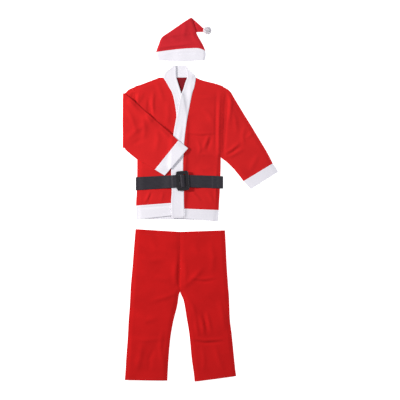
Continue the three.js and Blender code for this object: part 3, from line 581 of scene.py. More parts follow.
RIGHT_SEAMS = [[(-213, 0), (-215, 72), (-210, 185), (-208, 300)], [(-275, 636), (-222, 665), (-190, 677), (-98, 712)]]
RIGHT_CREASES = [                           # height, width, points
    (2.6, 9, [(-128, 640), (-132, 575), (-128, 505)]), (-2.2, 9, [(-152, 610), (-150, 560), (-146, 505)]),
    (2.6, 9, [(-196, 640), (-206, 606), (-208, 570)]), (-3.2, 13, [(-228, 640), (-226, 606), (-214, 580)]),
    (-2.6, 11, [(-148, 575), (-140, 535), (-126, 505)]), (-2.4, 10, [(-98, 492), (-60, 462), (-20, 426)]),
    (1.6, 10, [(-178, 640), (-190, 610), (-200, 590)]), (1.5, 12, [(-110, 690), (-92, 640), (-78, 590)]),
    (1.3, 12, [(-60, 600), (-52, 530), (-60, 470)]), (1.9, 8, [(-146, 142), (-156, 112), (-170, 88)]),
    (-1.3, 6, [(-136, 138), (-146, 110), (-156, 92)]), (1.3, 9, [(-80, 142), (-84, 118), (-90, 92)]),
    (1.2, 10, [(-150, 262), (-110, 252), (-60, 262)]), (-1.0, 5, [(-215, 60), (-120, 66), (-34, 72)])]
layer["front_right"] = jacket_pile.lay(
    [(cells["front_right"], FELT), (cells["hem_right"], FLEECE), (cells["band_right"], FLEECE),
     (cells["sleeve_before_fold"], FELT)],
    air=jacket_pile.puffed(2.9, 0.8, 5, RIGHT_CREASES, RIGHT_SEAMS), soft=30)

LEFT_SEAMS = [[(193, -5), (201, 94), (205, 185), (209, 300)], [(222, 666), (194, 679), (121, 697), (86, 711)],
              [(222, 665), (241, 655), (259, 639), (300, 570), (386, 429), (446, 328), (496, 241)],
              [(211, 310), (239, 289), (274, 255), (322, 194), (358, 153)]]
LEFT_CREASES = [
    (3.0, 8, [(206, 650), (200, 520), (198, 400), (196, 250)]), (2.4, 8, [(190, 260), (186, 150), (188, 30)]),
    (-1.6, 6, [(186, 640), (184, 500), (182, 330)]), (-3.6, 9, [(236, 650), (234, 560), (222, 320)]),
    (3.4, 11, [(262, 618), (256, 560), (250, 490)]),
    (-2.2, 12, [(240, 640), (238, 560), (234, 480)]), (1.9, 7, [(30, 440), (110, 430), (188, 436)]),
    (-1.5, 6, [(34, 426), (110, 418), (184, 424)]), (1.0, 7, [(58, 616), (120, 610), (192, 614)]),
    (2.4, 9, [(150, 428), (138, 395), (120, 350)]), (-1.8, 8, [(160, 415), (152, 380), (140, 345)]),
    (2.0, 8, [(104, 326), (132, 330), (168, 318)]), (1.8, 9, [(92, 400), (106, 360), (98, 320)]),
    (2.2, 9, [(62, 142), (84, 122), (112, 96)]), (-1.5, 7, [(74, 142), (98, 120), (122, 100)]),
    (1.8, 10, [(140, 140), (162, 112), (170, 80)]), (1.6, 13, [(110, 560), (150, 530), (170, 480)]),
    (2.8, 9, [(226, 330), (262, 352), (306, 388)]), (2.4, 9, [(222, 318), (262, 322), (322, 352)]),
    (-1.8, 7, [(232, 322), (270, 340), (312, 368)]), (2.0, 12, [(262, 560), (282, 500), (290, 430)]),
    (1.8, 11, [(330, 470), (318, 420), (324, 370)]), (1.8, 9, [(372, 440), (350, 418), (330, 410)]),
    (1.7, 13, [(400, 330), (370, 280), (352, 240)]), (1.4, 12, [(84, 262), (120, 252), (170, 262)]),
    (1.2, 10, [(60, 690), (56, 640), (46, 590)]), (1.0, 8, [(10, 470), (2, 420), (-6, 370)])]
layer["front_left"] = jacket_pile.lay(
    [(cells["front_left"], FELT), (cells["hem_left"], FLEECE), (cells["band_left"], FLEECE),
     (cells["sleeve_left"], FELT), (cells["cuff_left"], FLEECE)],
    air=jacket_pile.puffed(3.1, 0.9, 7, LEFT_CREASES, LEFT_SEAMS), soft=30)

EDGE_LIFTS = [                              # where the folded sleeve's upper edge stands off the chest
    (6.0, 16, [(-254, 604), (-238, 592), (-216, 574)]), (5.5, 16, [(-164, 528), (-146, 512), (-128, 498)]),
    (4.5, 16, [(-98, 470), (-66, 442), (-38, 418)])]
layer["sleeve_under"] = jacket_pile.lay(
    [(cells["sleeve_after_fold"], FELT), (cells["cuff_after_fold"], FLEECE)],
    air=0.8 + 0.3 * jacket_pile.swell(8) + jacket_pile.creases(EDGE_LIFTS), soft=30)
FOLDED_EDGES = [[(-265, 627), (-192, 564), (-120, 500), (-41, 431), (46, 358)],
                [(-265, 349), (-209, 303), (-168, 282), (-134, 264), (-71, 222)]]
FOLDED_CREASES = [
    (2.2, 14, [(-262, 400), (-220, 440), (-165, 478)]), (1.9, 13, [(-262, 560), (-232, 500), (-210, 430)]),
    (2.0, 13, [(-180, 530), (-170, 460), (-176, 390)]), (1.8, 14, [(-110, 470), (-104, 400), (-118, 340)]),
    (1.6, 12, [(-262, 480), (-236, 460), (-200, 452)]), (-1.4, 12, [(-240, 370), (-200, 396), (-160, 404)]),
    (1.2, 9, [(-38, 384), (-52, 340), (-84, 296)]),
    (2.6, 11, [(-244, 592), (-222, 572), (-200, 552)]), (2.4, 10, [(-166, 524), (-148, 506), (-128, 490)]),
    (2.2, 10, [(-104, 462), (-70, 434), (-34, 402)])]
layer["sleeve_over"] = jacket_pile.lay(
    [(cells["sleeve_after_fold"], FELT), (cells["cuff_after_fold"], FLEECE)],
    air=0.4 + jacket_pile.puffed(2.6, 0.9, 9, FOLDED_CREASES, FOLDED_EDGES, reach=30, least=0.0), soft=12)

# ---------------------------------------------------------------------------------------------------------
# Jacket body. A back and two wrapped fronts of the same red felt, the left over the right, sewn at the
# shoulders, armholes and sides. The back's upward faces, which show at the neck, are a darker red: painted shade for
# the hollow there.
# ---------------------------------------------------------------------------------------------------------
jacket_felt = felt("jacket_red_needled_felt", "#db2526", "#cd2123", 1.7)
felt_cloth = (jacket_felt, "jacket_felt", FELT)     # material, slot and wall
# A darker red for the back's upward faces: painted shade for the hollow inside the neck, not a different felt.
felt_painted_neck_shade = felt("jacket_felt_painted_neck_shade", "#8e1f28", "#7c1a23", 4.3)


def jacket_panel(name, cut, level, cloth, rests_on, **edges):
    """A flat panel or trim of the jacket, at the height of the layer that it is in."""
    piece, (material, slot, thickness) = cuts[cut], cloth
    under = jacket_pile.at(layer[level], piece["x"], piece["y"])
    obj = wall_of(name + "_panel", piece, under, thickness, material, JACKET, **edges)
    finish_piece(obj, name)
    declare(piece)
    return obj


jacket_back = jacket_panel("jacket_back", "back", "back", felt_cloth, [board])
# Every face of the back that looks up gets the darker red, painted shade standing in for the shadow inside the neck.
jacket_back.data.materials.append(felt_painted_neck_shade)
for face in jacket_back.data.polygons:
    face.material_index = 1 if face.normal.z > 0.3 else 0
right_front = jacket_panel("jacket_front_right", "front_right", "front_right", felt_cloth, [jacket_back])
left_front = jacket_panel("jacket_front_left", "front_left", "front_left", felt_cloth, [right_front, jacket_back])

# ---------------------------------------------------------------------------------------------------------
# Trims. Strips of white polyester fleece sewn to the felt's edges: one up each front to the collar, one
# behind the neck, and one round the hem in three lengths. Their free edges are turned under, so they are full.
# ---------------------------------------------------------------------------------------------------------
fleece, fleece_tree, fleece_shader = surface("trim_white_brushed_fleece", {
    "Roughness": 0.95, "Specular IOR Level": 0.1, "Sheen Weight": 0.15, "Sheen Roughness": 0.6})
# Brushed on one side: tufts about 3 mm across, faintly shaded between them.
fleece_place = add_node(fleece_tree, "ShaderNodeTexCoord")
tufts = add_node(fleece_tree, "ShaderNodeTexNoise", inputs={
    "Vector": fleece_place.outputs["Object"], "Scale": 1 / 0.003, "Detail": 5.0, "Roughness": 0.65,
    "Distortion": 0.8})
coloured_by(tufts.outputs["Fac"], fleece_tree, fleece_shader, "#f0eefa", "#fcfbff", 0.3, 0.62)
raised_by(tufts.outputs["Fac"], fleece_tree, fleece_shader, 0.35, 0.0008)
fleece_cloth = (fleece, "white_fleece", FLEECE)     # material, slot and wall

TRIM_EDGE = {"roll": 1.4, "turned": 0.7, "turned_width": 9}

def trim(name, level, rests_on):
    """A fleece trim along one of the jacket's edges."""
    return jacket_panel(name, name, level, fleece_cloth, rests_on, **TRIM_EDGE)


back_hem = trim("hem_back", "back", [board])
neck_band = trim("band_neck", "back", [board])
trim("hem_right", "front_right", [back_hem])
right_band = trim("band_right", "front_right", [jacket_back, neck_band])
trim("hem_left", "front_left", [back_hem])
left_band = trim("band_left", "front_left", [right_band, neck_band])

# ---------------------------------------------------------------------------------------------------------
# Left sleeve. A tube of felt cut in one piece, sewn along its underside and set into the armhole, with a
# fleece cuff sewn round its end. It lies pressed flat, straight out from the shoulder.
# ---------------------------------------------------------------------------------------------------------
def tube_skins(piece, low, high, thickness):
    """Half heights of a flattened tube's outside and inside at each point, and the height of its middle."""
    middle = (low + high + thickness) / 2
    half = np.maximum((high + thickness - low) / 2, thickness + 0.1)
    bulge = np.sqrt(1 - (1 - np.clip(piece["side"] / np.maximum(half, 1.6), 0, 1)) ** 2)
    lip = thickness / 2 * (1 - edge_round(piece["end"], thickness * 0.7)) * 0.9
    return middle, (half - lip) * bulge, (half - thickness + lip) * bulge


def inside_of(piece, thickness):
    """A tube's points moved in from its pressed edges by the thickness of its wall."""
    x0, y0, x1, y1 = (piece[key][:, end][:, None] for key, end in (("x", 0), ("y", 0), ("x", -1), ("y", -1)))
    width = np.hypot(x1 - x0, y1 - y0)
    shrink = 1 - 2 * thickness / width
    middle_x, middle_y = (x0 + x1) / 2, (y0 + y1) / 2
    return middle_x + (piece["x"] - middle_x) * shrink, middle_y + (piece["y"] - middle_y) * shrink


def closed_tube(name, skins, material, origin):
    """A tube from its four skins, each a grid of x, y, z: outside below, inside below, inside above, outside
    above. Both rings are closed at the pressed edges, and to each other at both ends."""
    rows, columns = skins[0][0].shape
    below_out, below_in, above_in, above_out = (np.stack(skin, -1) for skin in skins)
    outer = np.concatenate([below_out, above_out[:, -2:0:-1]], axis=1)
    inner = np.concatenate([below_in, above_in[:, -2:0:-1]], axis=1)
    around = outer.shape[1]
    grid = np.arange(rows * around).reshape(rows, around)
    after = np.roll(grid, -1, axis=1)
    quads = [np.stack([grid[:-1], after[:-1], after[1:], grid[1:]], -1).reshape(-1, 4),
             np.stack([grid[:-1], grid[1:], after[1:], after[:-1]], -1).reshape(-1, 4) + rows * around,
             np.stack([after[0], grid[0], grid[0] + rows * around, after[0] + rows * around], -1),
             np.stack([grid[-1], after[-1], after[-1] + rows * around, grid[-1] + rows * around], -1)]
    points = np.concatenate([outer.reshape(-1, 3), inner.reshape(-1, 3)])
    return joined(name, points, np.concatenate(quads), material, origin)


def flat_tube(name, piece, low, high, thickness, material, origin):
    """A tube that lies flat between the undersides of its lower and its upper wall."""
    middle, outside, inside = tube_skins(piece, low, high, thickness)
    x, y = inside_of(piece, thickness)
    return closed_tube(name, [(piece["x"], piece["y"], middle - outside), (x, y, middle - inside),
                              (x, y, middle + inside), (piece["x"], piece["y"], middle + outside)],
                       material, origin)


def straight_sleeve(name, cloth):
    """A sleeve or cuff that lies straight, in the layers of the back and of the left front."""
    piece, (material, slot, thickness) = cuts[name], cloth
    low, high = (jacket_pile.at(layer[level], piece["x"], piece["y"]) for level in ("back", "front_left"))
    tube = flat_tube(name + "_tube", piece, low, high, thickness, material, JACKET)
    finish_piece(tube, name)
    declare(piece, layers=2)


straight_sleeve("sleeve_left", felt_cloth)
straight_sleeve("cuff_left", fleece_cloth)

# ---------------------------------------------------------------------------------------------------------
# Right sleeve and cuff. Made like the left ones, then folded up and over across the chest along one line,
# so that the side which would lie below is on top.
# ---------------------------------------------------------------------------------------------------------
def folded_sleeve(name, cloth):
    """A sleeve or cuff that is folded over; each of its four skins bends round the fold on its own radius."""
    piece, (material, slot, thickness) = cuts[name], cloth
    before, after = folded_over(piece)
    first = tube_skins(piece, *(jacket_pile.at(layer[level], before["x"], before["y"])
                                for level in ("back", "front_right")), thickness)
    second = tube_skins(piece, *(jacket_pile.at(layer[level], after["x"], after["y"])
                                 for level in ("sleeve_under", "sleeve_over")), thickness)
    skins = []
    for side, which in ((-1, 1), (-1, 2), (1, 2), (1, 1)):
        x, y = (piece["x"], piece["y"]) if which == 1 else inside_of(piece, thickness)
        low, high = first[0] + side * first[which], second[0] - side * second[which]
        past = FOLD_X - x
        turn = np.clip(past / FOLD_LENGTH, 0, 1) * math.pi
        bend_x = FOLD_X - (high - low) / 2 * np.sin(turn)
        bend_z = (low + high) / 2 - (high - low) / 2 * np.cos(turn)
        skins.append((np.where(past <= 0, x, np.where(past >= FOLD_LENGTH, FOLD_X + past - FOLD_LENGTH, bend_x)),
                      y, bend_z))
    tube = closed_tube(name + "_tube", skins, material, JACKET)
    finish_piece(tube, name)
    declare(piece, layers=2)


folded_sleeve("sleeve_right", felt_cloth)
folded_sleeve("cuff_right", fleece_cloth)

# ---------------------------------------------------------------------------------------------------------
# Belt. One strap of black embossed vinyl on felt, round behind the jacket. One end is looped round the
# buckle's middle bar; the other comes up through the buckle, over that bar, down again and back over the strap.
# ---------------------------------------------------------------------------------------------------------
vinyl, vinyl_tree, vinyl_shader = surface("belt_black_embossed_vinyl", {
    "Roughness": 0.55, "Specular IOR Level": 0.4, "Coat Weight": 0.05, "Coat Roughness": 0.4})
# Embossed with fine grain 0.8 mm across, and with faint streaks along the strap 4 mm wide.
vinyl_place = add_node(vinyl_tree, "ShaderNodeTexCoord")
stretched = add_node(vinyl_tree, "ShaderNodeMapping", inputs={
    "Vector": vinyl_place.outputs["Object"], "Scale": (0.12, 1, 1)})
streaks = add_node(vinyl_tree, "ShaderNodeTexNoise", inputs={
    "Vector": stretched.outputs[0], "Scale": 1 / 0.004, "Detail": 3.0, "Roughness": 0.6})
coloured_by(streaks.outputs["Fac"], vinyl_tree, vinyl_shader, "#211e26", "#2f2b34", 0.3, 0.7)
grain = add_node(vinyl_tree, "ShaderNodeTexVoronoi", inputs={
    "Vector": vinyl_place.outputs["Object"], "Scale": 1 / 0.0008})
raised_by(grain.outputs["Distance"], vinyl_tree, vinyl_shader, 0.3, 0.0002)

BUCKLE = {"x": 19, "y": 196, "width": 62, "height": 98, "thick": 3, "under": 11.9, "bar": 15, "centre_bar": 10,
          "turn": 5}
AT_BUCKLE = 8.3                             # mm, underside of the strap where it runs into the buckle
layer["strap"] = jacket_pile.lay([(strap_cells(front_line), STRAP)], air=0.15, soft=25)
near_buckle = (np.abs(jacket_pile.x - BUCKLE["x"]) < 48) & strap_cells(front_line)
lift = max(layer["strap"][near_buckle].max() - AT_BUCKLE, 0.0)
close = np.clip((110 - np.abs(jacket_pile.x - BUCKLE["x"])) / 60, 0, 1)
close = close * close * (3 - 2 * close)
strap_under = layer["strap"] * (1 - close) + (AT_BUCKLE + lift) * close
STRAP_CREASES = [(1.6, 6, [(168, 224), (172, 190), (178, 156)]), (-1.2, 6, [(180, 224), (186, 190), (190, 156)]),
                 (0.9, 12, [(80, 222), (84, 190), (86, 158)]), (1.2, 10, [(-170, 212), (-176, 182), (-170, 150)]),
                 (1.0, 8, [(206, 220), (208, 190), (212, 158)])]
strap_under = strap_under + np.maximum(jacket_pile.creases(STRAP_CREASES) + 0.2, 0)
jacket_pile.top = np.where(strap_cells(front_line), strap_under + STRAP, jacket_pile.top)
layer["tail"] = jacket_pile.lay([(strap_cells(front_line, -124, -20), STRAP)], air=0.1, soft=10)

SIDE_BENDS = {"left": -212.5, "right": 217}


def strap_stretch(field, start, stop):
    """Stations along a stretch that lies on a layer: x, and the height of the strap's middle."""
    x = np.linspace(start, stop, max(int(abs(stop - start) / 5), 2))
    return [(a, float(jacket_pile.at(field, np.array(a), np.array(front_line(a)[0]))) + STRAP / 2) for a in x]


def side_bend(x, top, side, down):
    """Stations round a half turn between the front stretch's height and the back stretch's."""
    middle, radius = (top + STRAP / 2) / 2, (top - STRAP / 2) / 2
    angles = np.radians(np.linspace(90, -90, 9) if down else np.linspace(-90, 90, 9))
    return [(x + side * radius * math.cos(a), middle + radius * math.sin(a)) for a in angles]


def rounded_route(route, passes=2):
    """The same route with its corners cut, and its two ends kept."""
    for _ in range(passes):
        cut = [route[0]]
        for a, b in zip(route[:-1], route[1:]):
            cut += [tuple(near * a[k] + (1 - near) * b[k] for k in (0, 1)) for near in (0.75, 0.25)]
        route = cut + [route[-1]]
    return route


over_bar = [(x, z + lift) for x, z in [
    (-31.5, 13.2), (-25, 14.2), (-20, 13), (-14.5, 10.85), (8.5, 10.85), (11.15, 13), (11.15, 15.6), (13.2, 17.75),
    (24.8, 17.75), (26.85, 15.6), (26.85, 11.2), (29, 9.05)]]
loop = [(x, z + lift) for x, z in [
    (-24, 9.05), (10.4, 9.05), (12.95, 11.6), (12.95, 14.9), (14, 15.95), (24, 15.95), (25.05, 14.9),
    (25.05, 11.9), (24, 10.85), (15.2, 10.85)]]
right_part, left_part = strap_stretch(strap_under, 35, 205), strap_stretch(strap_under, -203, -30)
strap_route = rounded_route(
    strap_stretch(layer["tail"], -124, -38) + over_bar + right_part
    + side_bend(SIDE_BENDS["right"], right_part[-1][1], 1, True)
    + [(x, STRAP / 2) for x in np.linspace(210, -205, 60)]
    + side_bend(SIDE_BENDS["left"], left_part[0][1], -1, False) + left_part + loop)
route_x, route_z = np.array(strap_route).T
turned_x, turned_z = np.gradient(route_x), np.gradient(route_z)
size = np.hypot(turned_x, turned_z)
normal_x, normal_z = -turned_z / size, turned_x / size
behind = route_z < 3.0
middle_y, half_width = (np.where(behind, back, front) for back, front in
                        zip(strap_line(route_x), front_line(route_x)))
lean = np.tan(math.radians(BUCKLE["turn"])) * np.clip((90 - np.abs(route_x - BUCKLE["x"])) / 50, 0, 1)
lean = np.where(behind, 0, lean)
columns = np.array([-1, -0.985, -0.95, -0.88, -0.7, -0.5, -0.25, 0, 0.25, 0.5, 0.7, 0.88, 0.95, 0.985, 1])
rounding = np.maximum(np.sqrt(1 - np.clip((np.abs(columns) - 0.97) / 0.03, 0, 1) ** 2), 0.15)
strap_y = middle_y[:, None] + columns[None, :] * half_width[:, None]
skins = []
for side in (-1, 1):
    reach = side * STRAP / 2 * rounding[None, :]
    skins.append((route_x[:, None] + normal_x[:, None] * reach - lean[:, None] * (strap_y - BUCKLE["y"]), strap_y,
                  route_z[:, None] + normal_z[:, None] * reach))
belt = closed_wall("belt_strap", skins[0], skins[1], vinyl, JACKET)
finish_piece(belt, "belt")

# ---------------------------------------------------------------------------------------------------------
# Buckle. A slide of moulded black plastic with two slots, three bars across it, and smooth rounded edges. It
# turns about the strap with the loop round its middle bar.
# ---------------------------------------------------------------------------------------------------------
plastic, plastic_tree, plastic_shader = surface("buckle_black_moulded_gloss_plastic", {
    "Base Color": linear("#1b181d"), "Specular IOR Level": 0.6, "Coat Weight": 0.4,
    "Coat Roughness": 0.12})
# Faint flow marks from the mould, 12 mm long, in its gloss.
plastic_place = add_node(plastic_tree, "ShaderNodeTexCoord")
flow = add_node(plastic_tree, "ShaderNodeTexNoise", inputs={
    "Vector": plastic_place.outputs["Object"], "Scale": 1 / 0.012, "Detail": 2.0})
gloss = add_node(plastic_tree, "ShaderNodeMapRange", inputs={
    "Value": flow.outputs["Fac"], "To Min": 0.16, "To Max": 0.34})
plastic_tree.links.new(gloss.outputs["Result"], plastic_shader.inputs["Roughness"])


def rounded_loop(curve, x, y, width, height, radius):
    """A closed straight-sided loop with rounded corners, in mm, added to a flat curve."""
    points = []
    for corner, (sx, sy) in enumerate(((1, -1), (1, 1), (-1, 1), (-1, -1))):
        for step in range(9):
            angle = math.radians(-90 + corner * 90 + step * 90 / 8)
            points.append((x + sx * (width / 2 - radius) + radius * math.cos(angle),
                           y + sy * (height / 2 - radius) + radius * math.sin(angle)))
    spline = curve.splines.new("POLY")
    spline.points.add(len(points) - 1)
    for point, (px, py) in zip(spline.points, points):
        point.co = (px * MM, py * MM, 0, 1)
    spline.use_cyclic_u = True


buckle_curve = bpy.data.curves.new("buckle_outline", "CURVE")
buckle_curve.dimensions = "2D"
buckle_curve.fill_mode = "BOTH"
BEVEL = 1.2
buckle_curve.extrude = (BUCKLE["thick"] / 2 - BEVEL) * MM
buckle_curve.bevel_depth = BEVEL * MM
buckle_curve.bevel_resolution = 5
buckle_curve.offset = -BEVEL * MM
slot_width = (BUCKLE["width"] - 2 * BUCKLE["bar"] - BUCKLE["centre_bar"]) / 2
rounded_loop(buckle_curve, 0, 0, BUCKLE["width"], BUCKLE["height"], 11)
for side in (-1, 1):
    rounded_loop(buckle_curve, side * (BUCKLE["centre_bar"] + slot_width) / 2, 0, slot_width, 65, 2.5)
outline = bpy.data.objects.new("buckle_outline", buckle_curve)
bpy.context.collection.objects.link(outline)
outline.location = ((JACKET[0] + BUCKLE["x"]) * MM, (JACKET[1] + BUCKLE["y"]) * MM,
                    (BUCKLE["under"] + lift + BUCKLE["thick"] / 2) * MM)
outline.rotation_euler.z = math.radians(BUCKLE["turn"])
bpy.context.view_layer.update()
buckle_mesh = bpy.data.meshes.new_from_object(outline.evaluated_get(bpy.context.evaluated_depsgraph_get()))
buckle_mesh.transform(outline.matrix_world)
bpy.data.objects.remove(outline)
buckle_mesh.materials.clear()
buckle_mesh.materials.append(plastic)
buckle_mesh.polygons.foreach_set("use_smooth", [True] * len(buckle_mesh.polygons))
buckle = bpy.data.objects.new("buckle_slide", buckle_mesh)
bpy.context.collection.objects.link(buckle)
finish_piece(buckle, "buckle")

# ---------------------------------------------------------------------------------------------------------
# Hat. A cone of felt, a back and a front panel sewn up both sides, pressed flat, with its top folded down
# behind along one slanting line so that the point comes out at the side.
# ---------------------------------------------------------------------------------------------------------
HAT = (JACKET[0] + 8, JACKET[1] + 793)
hat_felt = felt("hat_red_needled_felt", "#d42a33", "#c4262f", 6.2)
FOLD_LEFT, FOLD_RIGHT, TIP = np.array((-98.0, 113.0)), np.array((55.0, 216.0)), np.array((17.5, 319.0))
TIP_BEND_LENGTH = 6.75                      # mm of cloth in the bend
along_fold = (FOLD_RIGHT - FOLD_LEFT) / np.linalg.norm(FOLD_RIGHT - FOLD_LEFT)
across_fold = np.array((-along_fold[1], along_fold[0]))
tip_height = float((TIP - FOLD_LEFT) @ across_fold)


def tip_row(left_share, right_share, waist=0.0):
    """A row of the cone past the fold, at a share of the way to the point on each side, its left end moved in."""
    left, right = FOLD_LEFT + (TIP - FOLD_LEFT) * left_share, FOLD_RIGHT + (TIP - FOLD_RIGHT) * right_share
    inward = np.array((TIP[1] - FOLD_LEFT[1], FOLD_LEFT[0] - TIP[0]))
    left = left + inward / np.linalg.norm(inward) * waist
    return (left[0], left[1], right[0], right[1], 0, 0.5)


# left x, left y, right x, right y, and how far the row bows up, at which share of it
bend_share = TIP_BEND_LENGTH / tip_height
CONE = [(-123, 46, 124, 53, 15, 0.8), (-115, 70, 113, 79, 3, 0.8), (-108, 88, 103, 98, 0, 0.5),
        (-102, 106, 83, 133, 0, 0.5), (-100, 109, 73, 160, 0, 0.5), (-99, 111, 64, 188, 0, 0.5),
        tip_row(0, 0), tip_row(bend_share, bend_share), tip_row(0.3, 0.3, 4), tip_row(0.6, 0.57, 6),
        tip_row(0.8, 0.74, 4), tip_row(0.925, 0.832, 1)]
BRIM = [(-119, 6, 120, 6, -6, 0.5), (-124, 14, 125, 14, -6, 0.5), (-126, 28, 126, 28, 2, 0.6),
        (-126, 39, 126, 43, 10, 0.75), (-123, 46, 124, 53, 15, 0.8)]
cone, brim = cut_piece(CONE, step=3.0, dense=(6, 7)), cut_piece(BRIM, step=3.0)


def past_fold(piece):
    """How far each point of the cone is past the fold line."""
    return ((piece["x"] - FOLD_LEFT[0]) * across_fold[0] + (piece["y"] - FOLD_LEFT[1]) * across_fold[1])


def tucked(piece):
    """The cone's points where they lie after the fold; those before it stop on the fold line."""
    past = past_fold(piece)
    beyond = np.where(past > 0, past + np.maximum(past - TIP_BEND_LENGTH, 0), 0)
    return piece["x"] - across_fold[0] * beyond, piece["y"] - across_fold[1] * beyond


def on_line(piece):
    """The cone's points before the fold; those past it are moved back to the fold line."""
    past = np.maximum(past_fold(piece), 0)
    return piece["x"] - across_fold[0] * past, piece["y"] - across_fold[1] * past


hat_pile = Pile((-150, -20), (180, 240))
tip_piece = cut_piece([*CONE[7:]], step=3.0)
tip_cells = hat_pile.under(dict(tip_piece, **dict(zip("xy", tucked(tip_piece)))))
main_cells, brim_cells = hat_pile.under(cut_piece(CONE[:7], step=3.0)), hat_pile.under(brim)
TIP_SWELL = [(2.2, 11, [(72, 204), (84, 184), (98, 164)])]
hat_layers = [hat_pile.lay([(tip_cells, FELT)], soft=0),
              hat_pile.lay([(tip_cells, FELT)], air=0.5 + hat_pile.creases(TIP_SWELL), soft=0),
              hat_pile.lay([(main_cells, FELT), (brim_cells, FLEECE)], air=np.where(tip_cells, 0.5, 0.0), soft=10)]
HAT_SEAMS = [[(-119, 6), (-126, 28), (-123, 46), (-102, 106)], [(120, 6), (126, 28), (124, 53), (85, 133), (55, 216)]]
HAT_CREASES = [                             # height, width, points
    (-2.4, 4, [(-112, 58), (-40, 66), (30, 72), (100, 66)]), (2.6, 7, [(-110, 72), (-30, 80), (50, 88), (98, 84)]),
    (1.4, 5, [(-100, 40), (-60, 34), (0, 46), (70, 52), (110, 40)]),
    (-1.8, 4, [(-70, 30), (-30, 40), (10, 43), (70, 42)]), (1.6, 12, [(24, 200), (22, 160), (10, 110)]),
    (1.8, 10, [(-60, 128), (-30, 110), (0, 104)]), (1.4, 9, [(60, 150), (66, 120), (84, 96)])]
hat_layers.append(hat_pile.lay(
    [(main_cells, FELT), (brim_cells, FLEECE)],
    air=hat_pile.puffed(2.6, 0.8, 13, HAT_CREASES, HAT_SEAMS, reach=11, least=0.05, waves=(160, 60)), soft=6))


def cone_panel(name, before, after):
    """A panel of the cone, in one layer before the fold and in another, turned over, past it."""
    first = wall_skins(cone, hat_pile.at(hat_layers[before], *on_line(cone)), FELT)
    second = wall_skins(cone, hat_pile.at(hat_layers[after], *tucked(cone)), FELT)
    past = past_fold(cone)
    foot_x, foot_y = on_line(cone)
    turn = np.clip(past / TIP_BEND_LENGTH, 0, 1) * math.pi
    skins = []
    for near, far in ((first[0], second[1]), (first[1], second[0])):
        reach = np.where(past > 0, np.maximum((near - far) / 2, 0.1) * np.sin(turn)
                         - np.maximum(past - TIP_BEND_LENGTH, 0), 0)
        skins.append((foot_x + across_fold[0] * reach, foot_y + across_fold[1] * reach,
                      (near + far) / 2 + (near - far) / 2 * np.cos(turn)))
    panel = closed_wall(name + "_panel", skins[0], skins[1], hat_felt, HAT)
    finish_piece(panel, name)
    declare(cone)


cone_panel("hat_back", 2, 1)
cone_panel("hat_front", 3, 0)

# ---------------------------------------------------------------------------------------------------------
# Brim. One strip of the white fleece, doubled and sewn round the hat's opening, pressed flat with it. It has
# a long soft fold along it in front.
# ---------------------------------------------------------------------------------------------------------
brim_low, brim_high = (hat_pile.at(hat_layers[k], brim["x"], brim["y"]) for k in (2, 3))
brim_tube = flat_tube("hat_brim_tube", brim, brim_low, brim_high, FLEECE, fleece, HAT)
finish_piece(brim_tube, "hat_brim")
declare(brim, layers=2)

# ---------------------------------------------------------------------------------------------------------
# Pompom. Cut white yarn tied at its middle, clipped to a ball and sewn to the hat's point; it is pressed
# flat where it lies. Each tuft is a short bundle of yarn, standing out and leaning a little at random.
# ---------------------------------------------------------------------------------------------------------
yarn, yarn_tree, yarn_shader = surface("pompom_white_acrylic_yarn", {
    "Roughness": 0.9, "Specular IOR Level": 0.1, "Sheen Weight": 0.1})
# Plies of the yarn, shaded between every 1.5 mm.
yarn_place = add_node(yarn_tree, "ShaderNodeTexCoord")
plies = add_node(yarn_tree, "ShaderNodeTexNoise", inputs={
    "Vector": yarn_place.outputs["Object"], "Scale": 1 / 0.0015, "Detail": 3.0})
coloured_by(plies.outputs["Fac"], yarn_tree, yarn_shader, "#f0edf4", "#fffdff")

POMPOM = {"x": 134, "y": 152, "radius": 19.5, "height": 14}
TUFT = {"length": 5.0, "radius": 0.9}
core_mesh = bpy.data.meshes.new("pompom_core")
core_radius = POMPOM["radius"] - TUFT["length"] * 0.7
turns, rings = 32, 18
core_points, core_quads = [], []
for j in range(rings + 1):
    tilt = math.pi * (0.02 + 0.96 * j / rings)
    for i in range(turns):
        angle = 2 * math.pi * i / turns
        z = max(POMPOM["height"] + core_radius * math.cos(tilt), TUFT["length"] * 0.7)
        core_points.append((POMPOM["x"] + core_radius * math.sin(tilt) * math.cos(angle),
                            POMPOM["y"] + core_radius * math.sin(tilt) * math.sin(angle), z))
for j in range(rings):
    for i in range(turns):
        core_quads.append((j * turns + i, (j + 1) * turns + i, (j + 1) * turns + (i + 1) % turns,
                           j * turns + (i + 1) % turns))
core_quads += [tuple(range(turns)), tuple(rings * turns + i for i in reversed(range(turns)))]
core_mesh.from_pydata([((x + HAT[0]) * MM, (y + HAT[1]) * MM, z * MM) for x, y, z in core_points], [], core_quads)
core_mesh.materials.append(yarn)


def node_group(name, inputs):
    """A Geometry Nodes tree with a mesh in and out, and named inputs: {name: (socket type, default)}."""
    tree = bpy.data.node_groups.new(name, "GeometryNodeTree")
    tree.interface.new_socket("Geometry", in_out="INPUT", socket_type="NodeSocketGeometry")
    tree.interface.new_socket("Geometry", in_out="OUTPUT", socket_type="NodeSocketGeometry")
    for label, (kind, value) in inputs.items():
        socket = tree.interface.new_socket(label, in_out="INPUT", socket_type=kind)
        if kind != "NodeSocketMaterial":
            socket.default_value = value
    return tree, tree.nodes.new("NodeGroupInput"), tree.nodes.new("NodeGroupOutput")


def grown(obj, tree, values):
    """Runs a tree on an object with these inputs, and leaves the object with the mesh that it makes."""
    modifier = obj.modifiers.new(tree.name, "NODES")
    modifier.node_group = tree
    for item in tree.interface.items_tree:
        if item.in_out == "INPUT" and item.name in values:
            modifier[item.identifier] = values[item.name]
    bpy.context.view_layer.update()
    made = bpy.data.meshes.new_from_object(obj.evaluated_get(bpy.context.evaluated_depsgraph_get()))
    obj.modifiers.remove(modifier)
    obj.data = made
    made.polygons.foreach_set("use_smooth", [True] * len(made.polygons))
    return obj


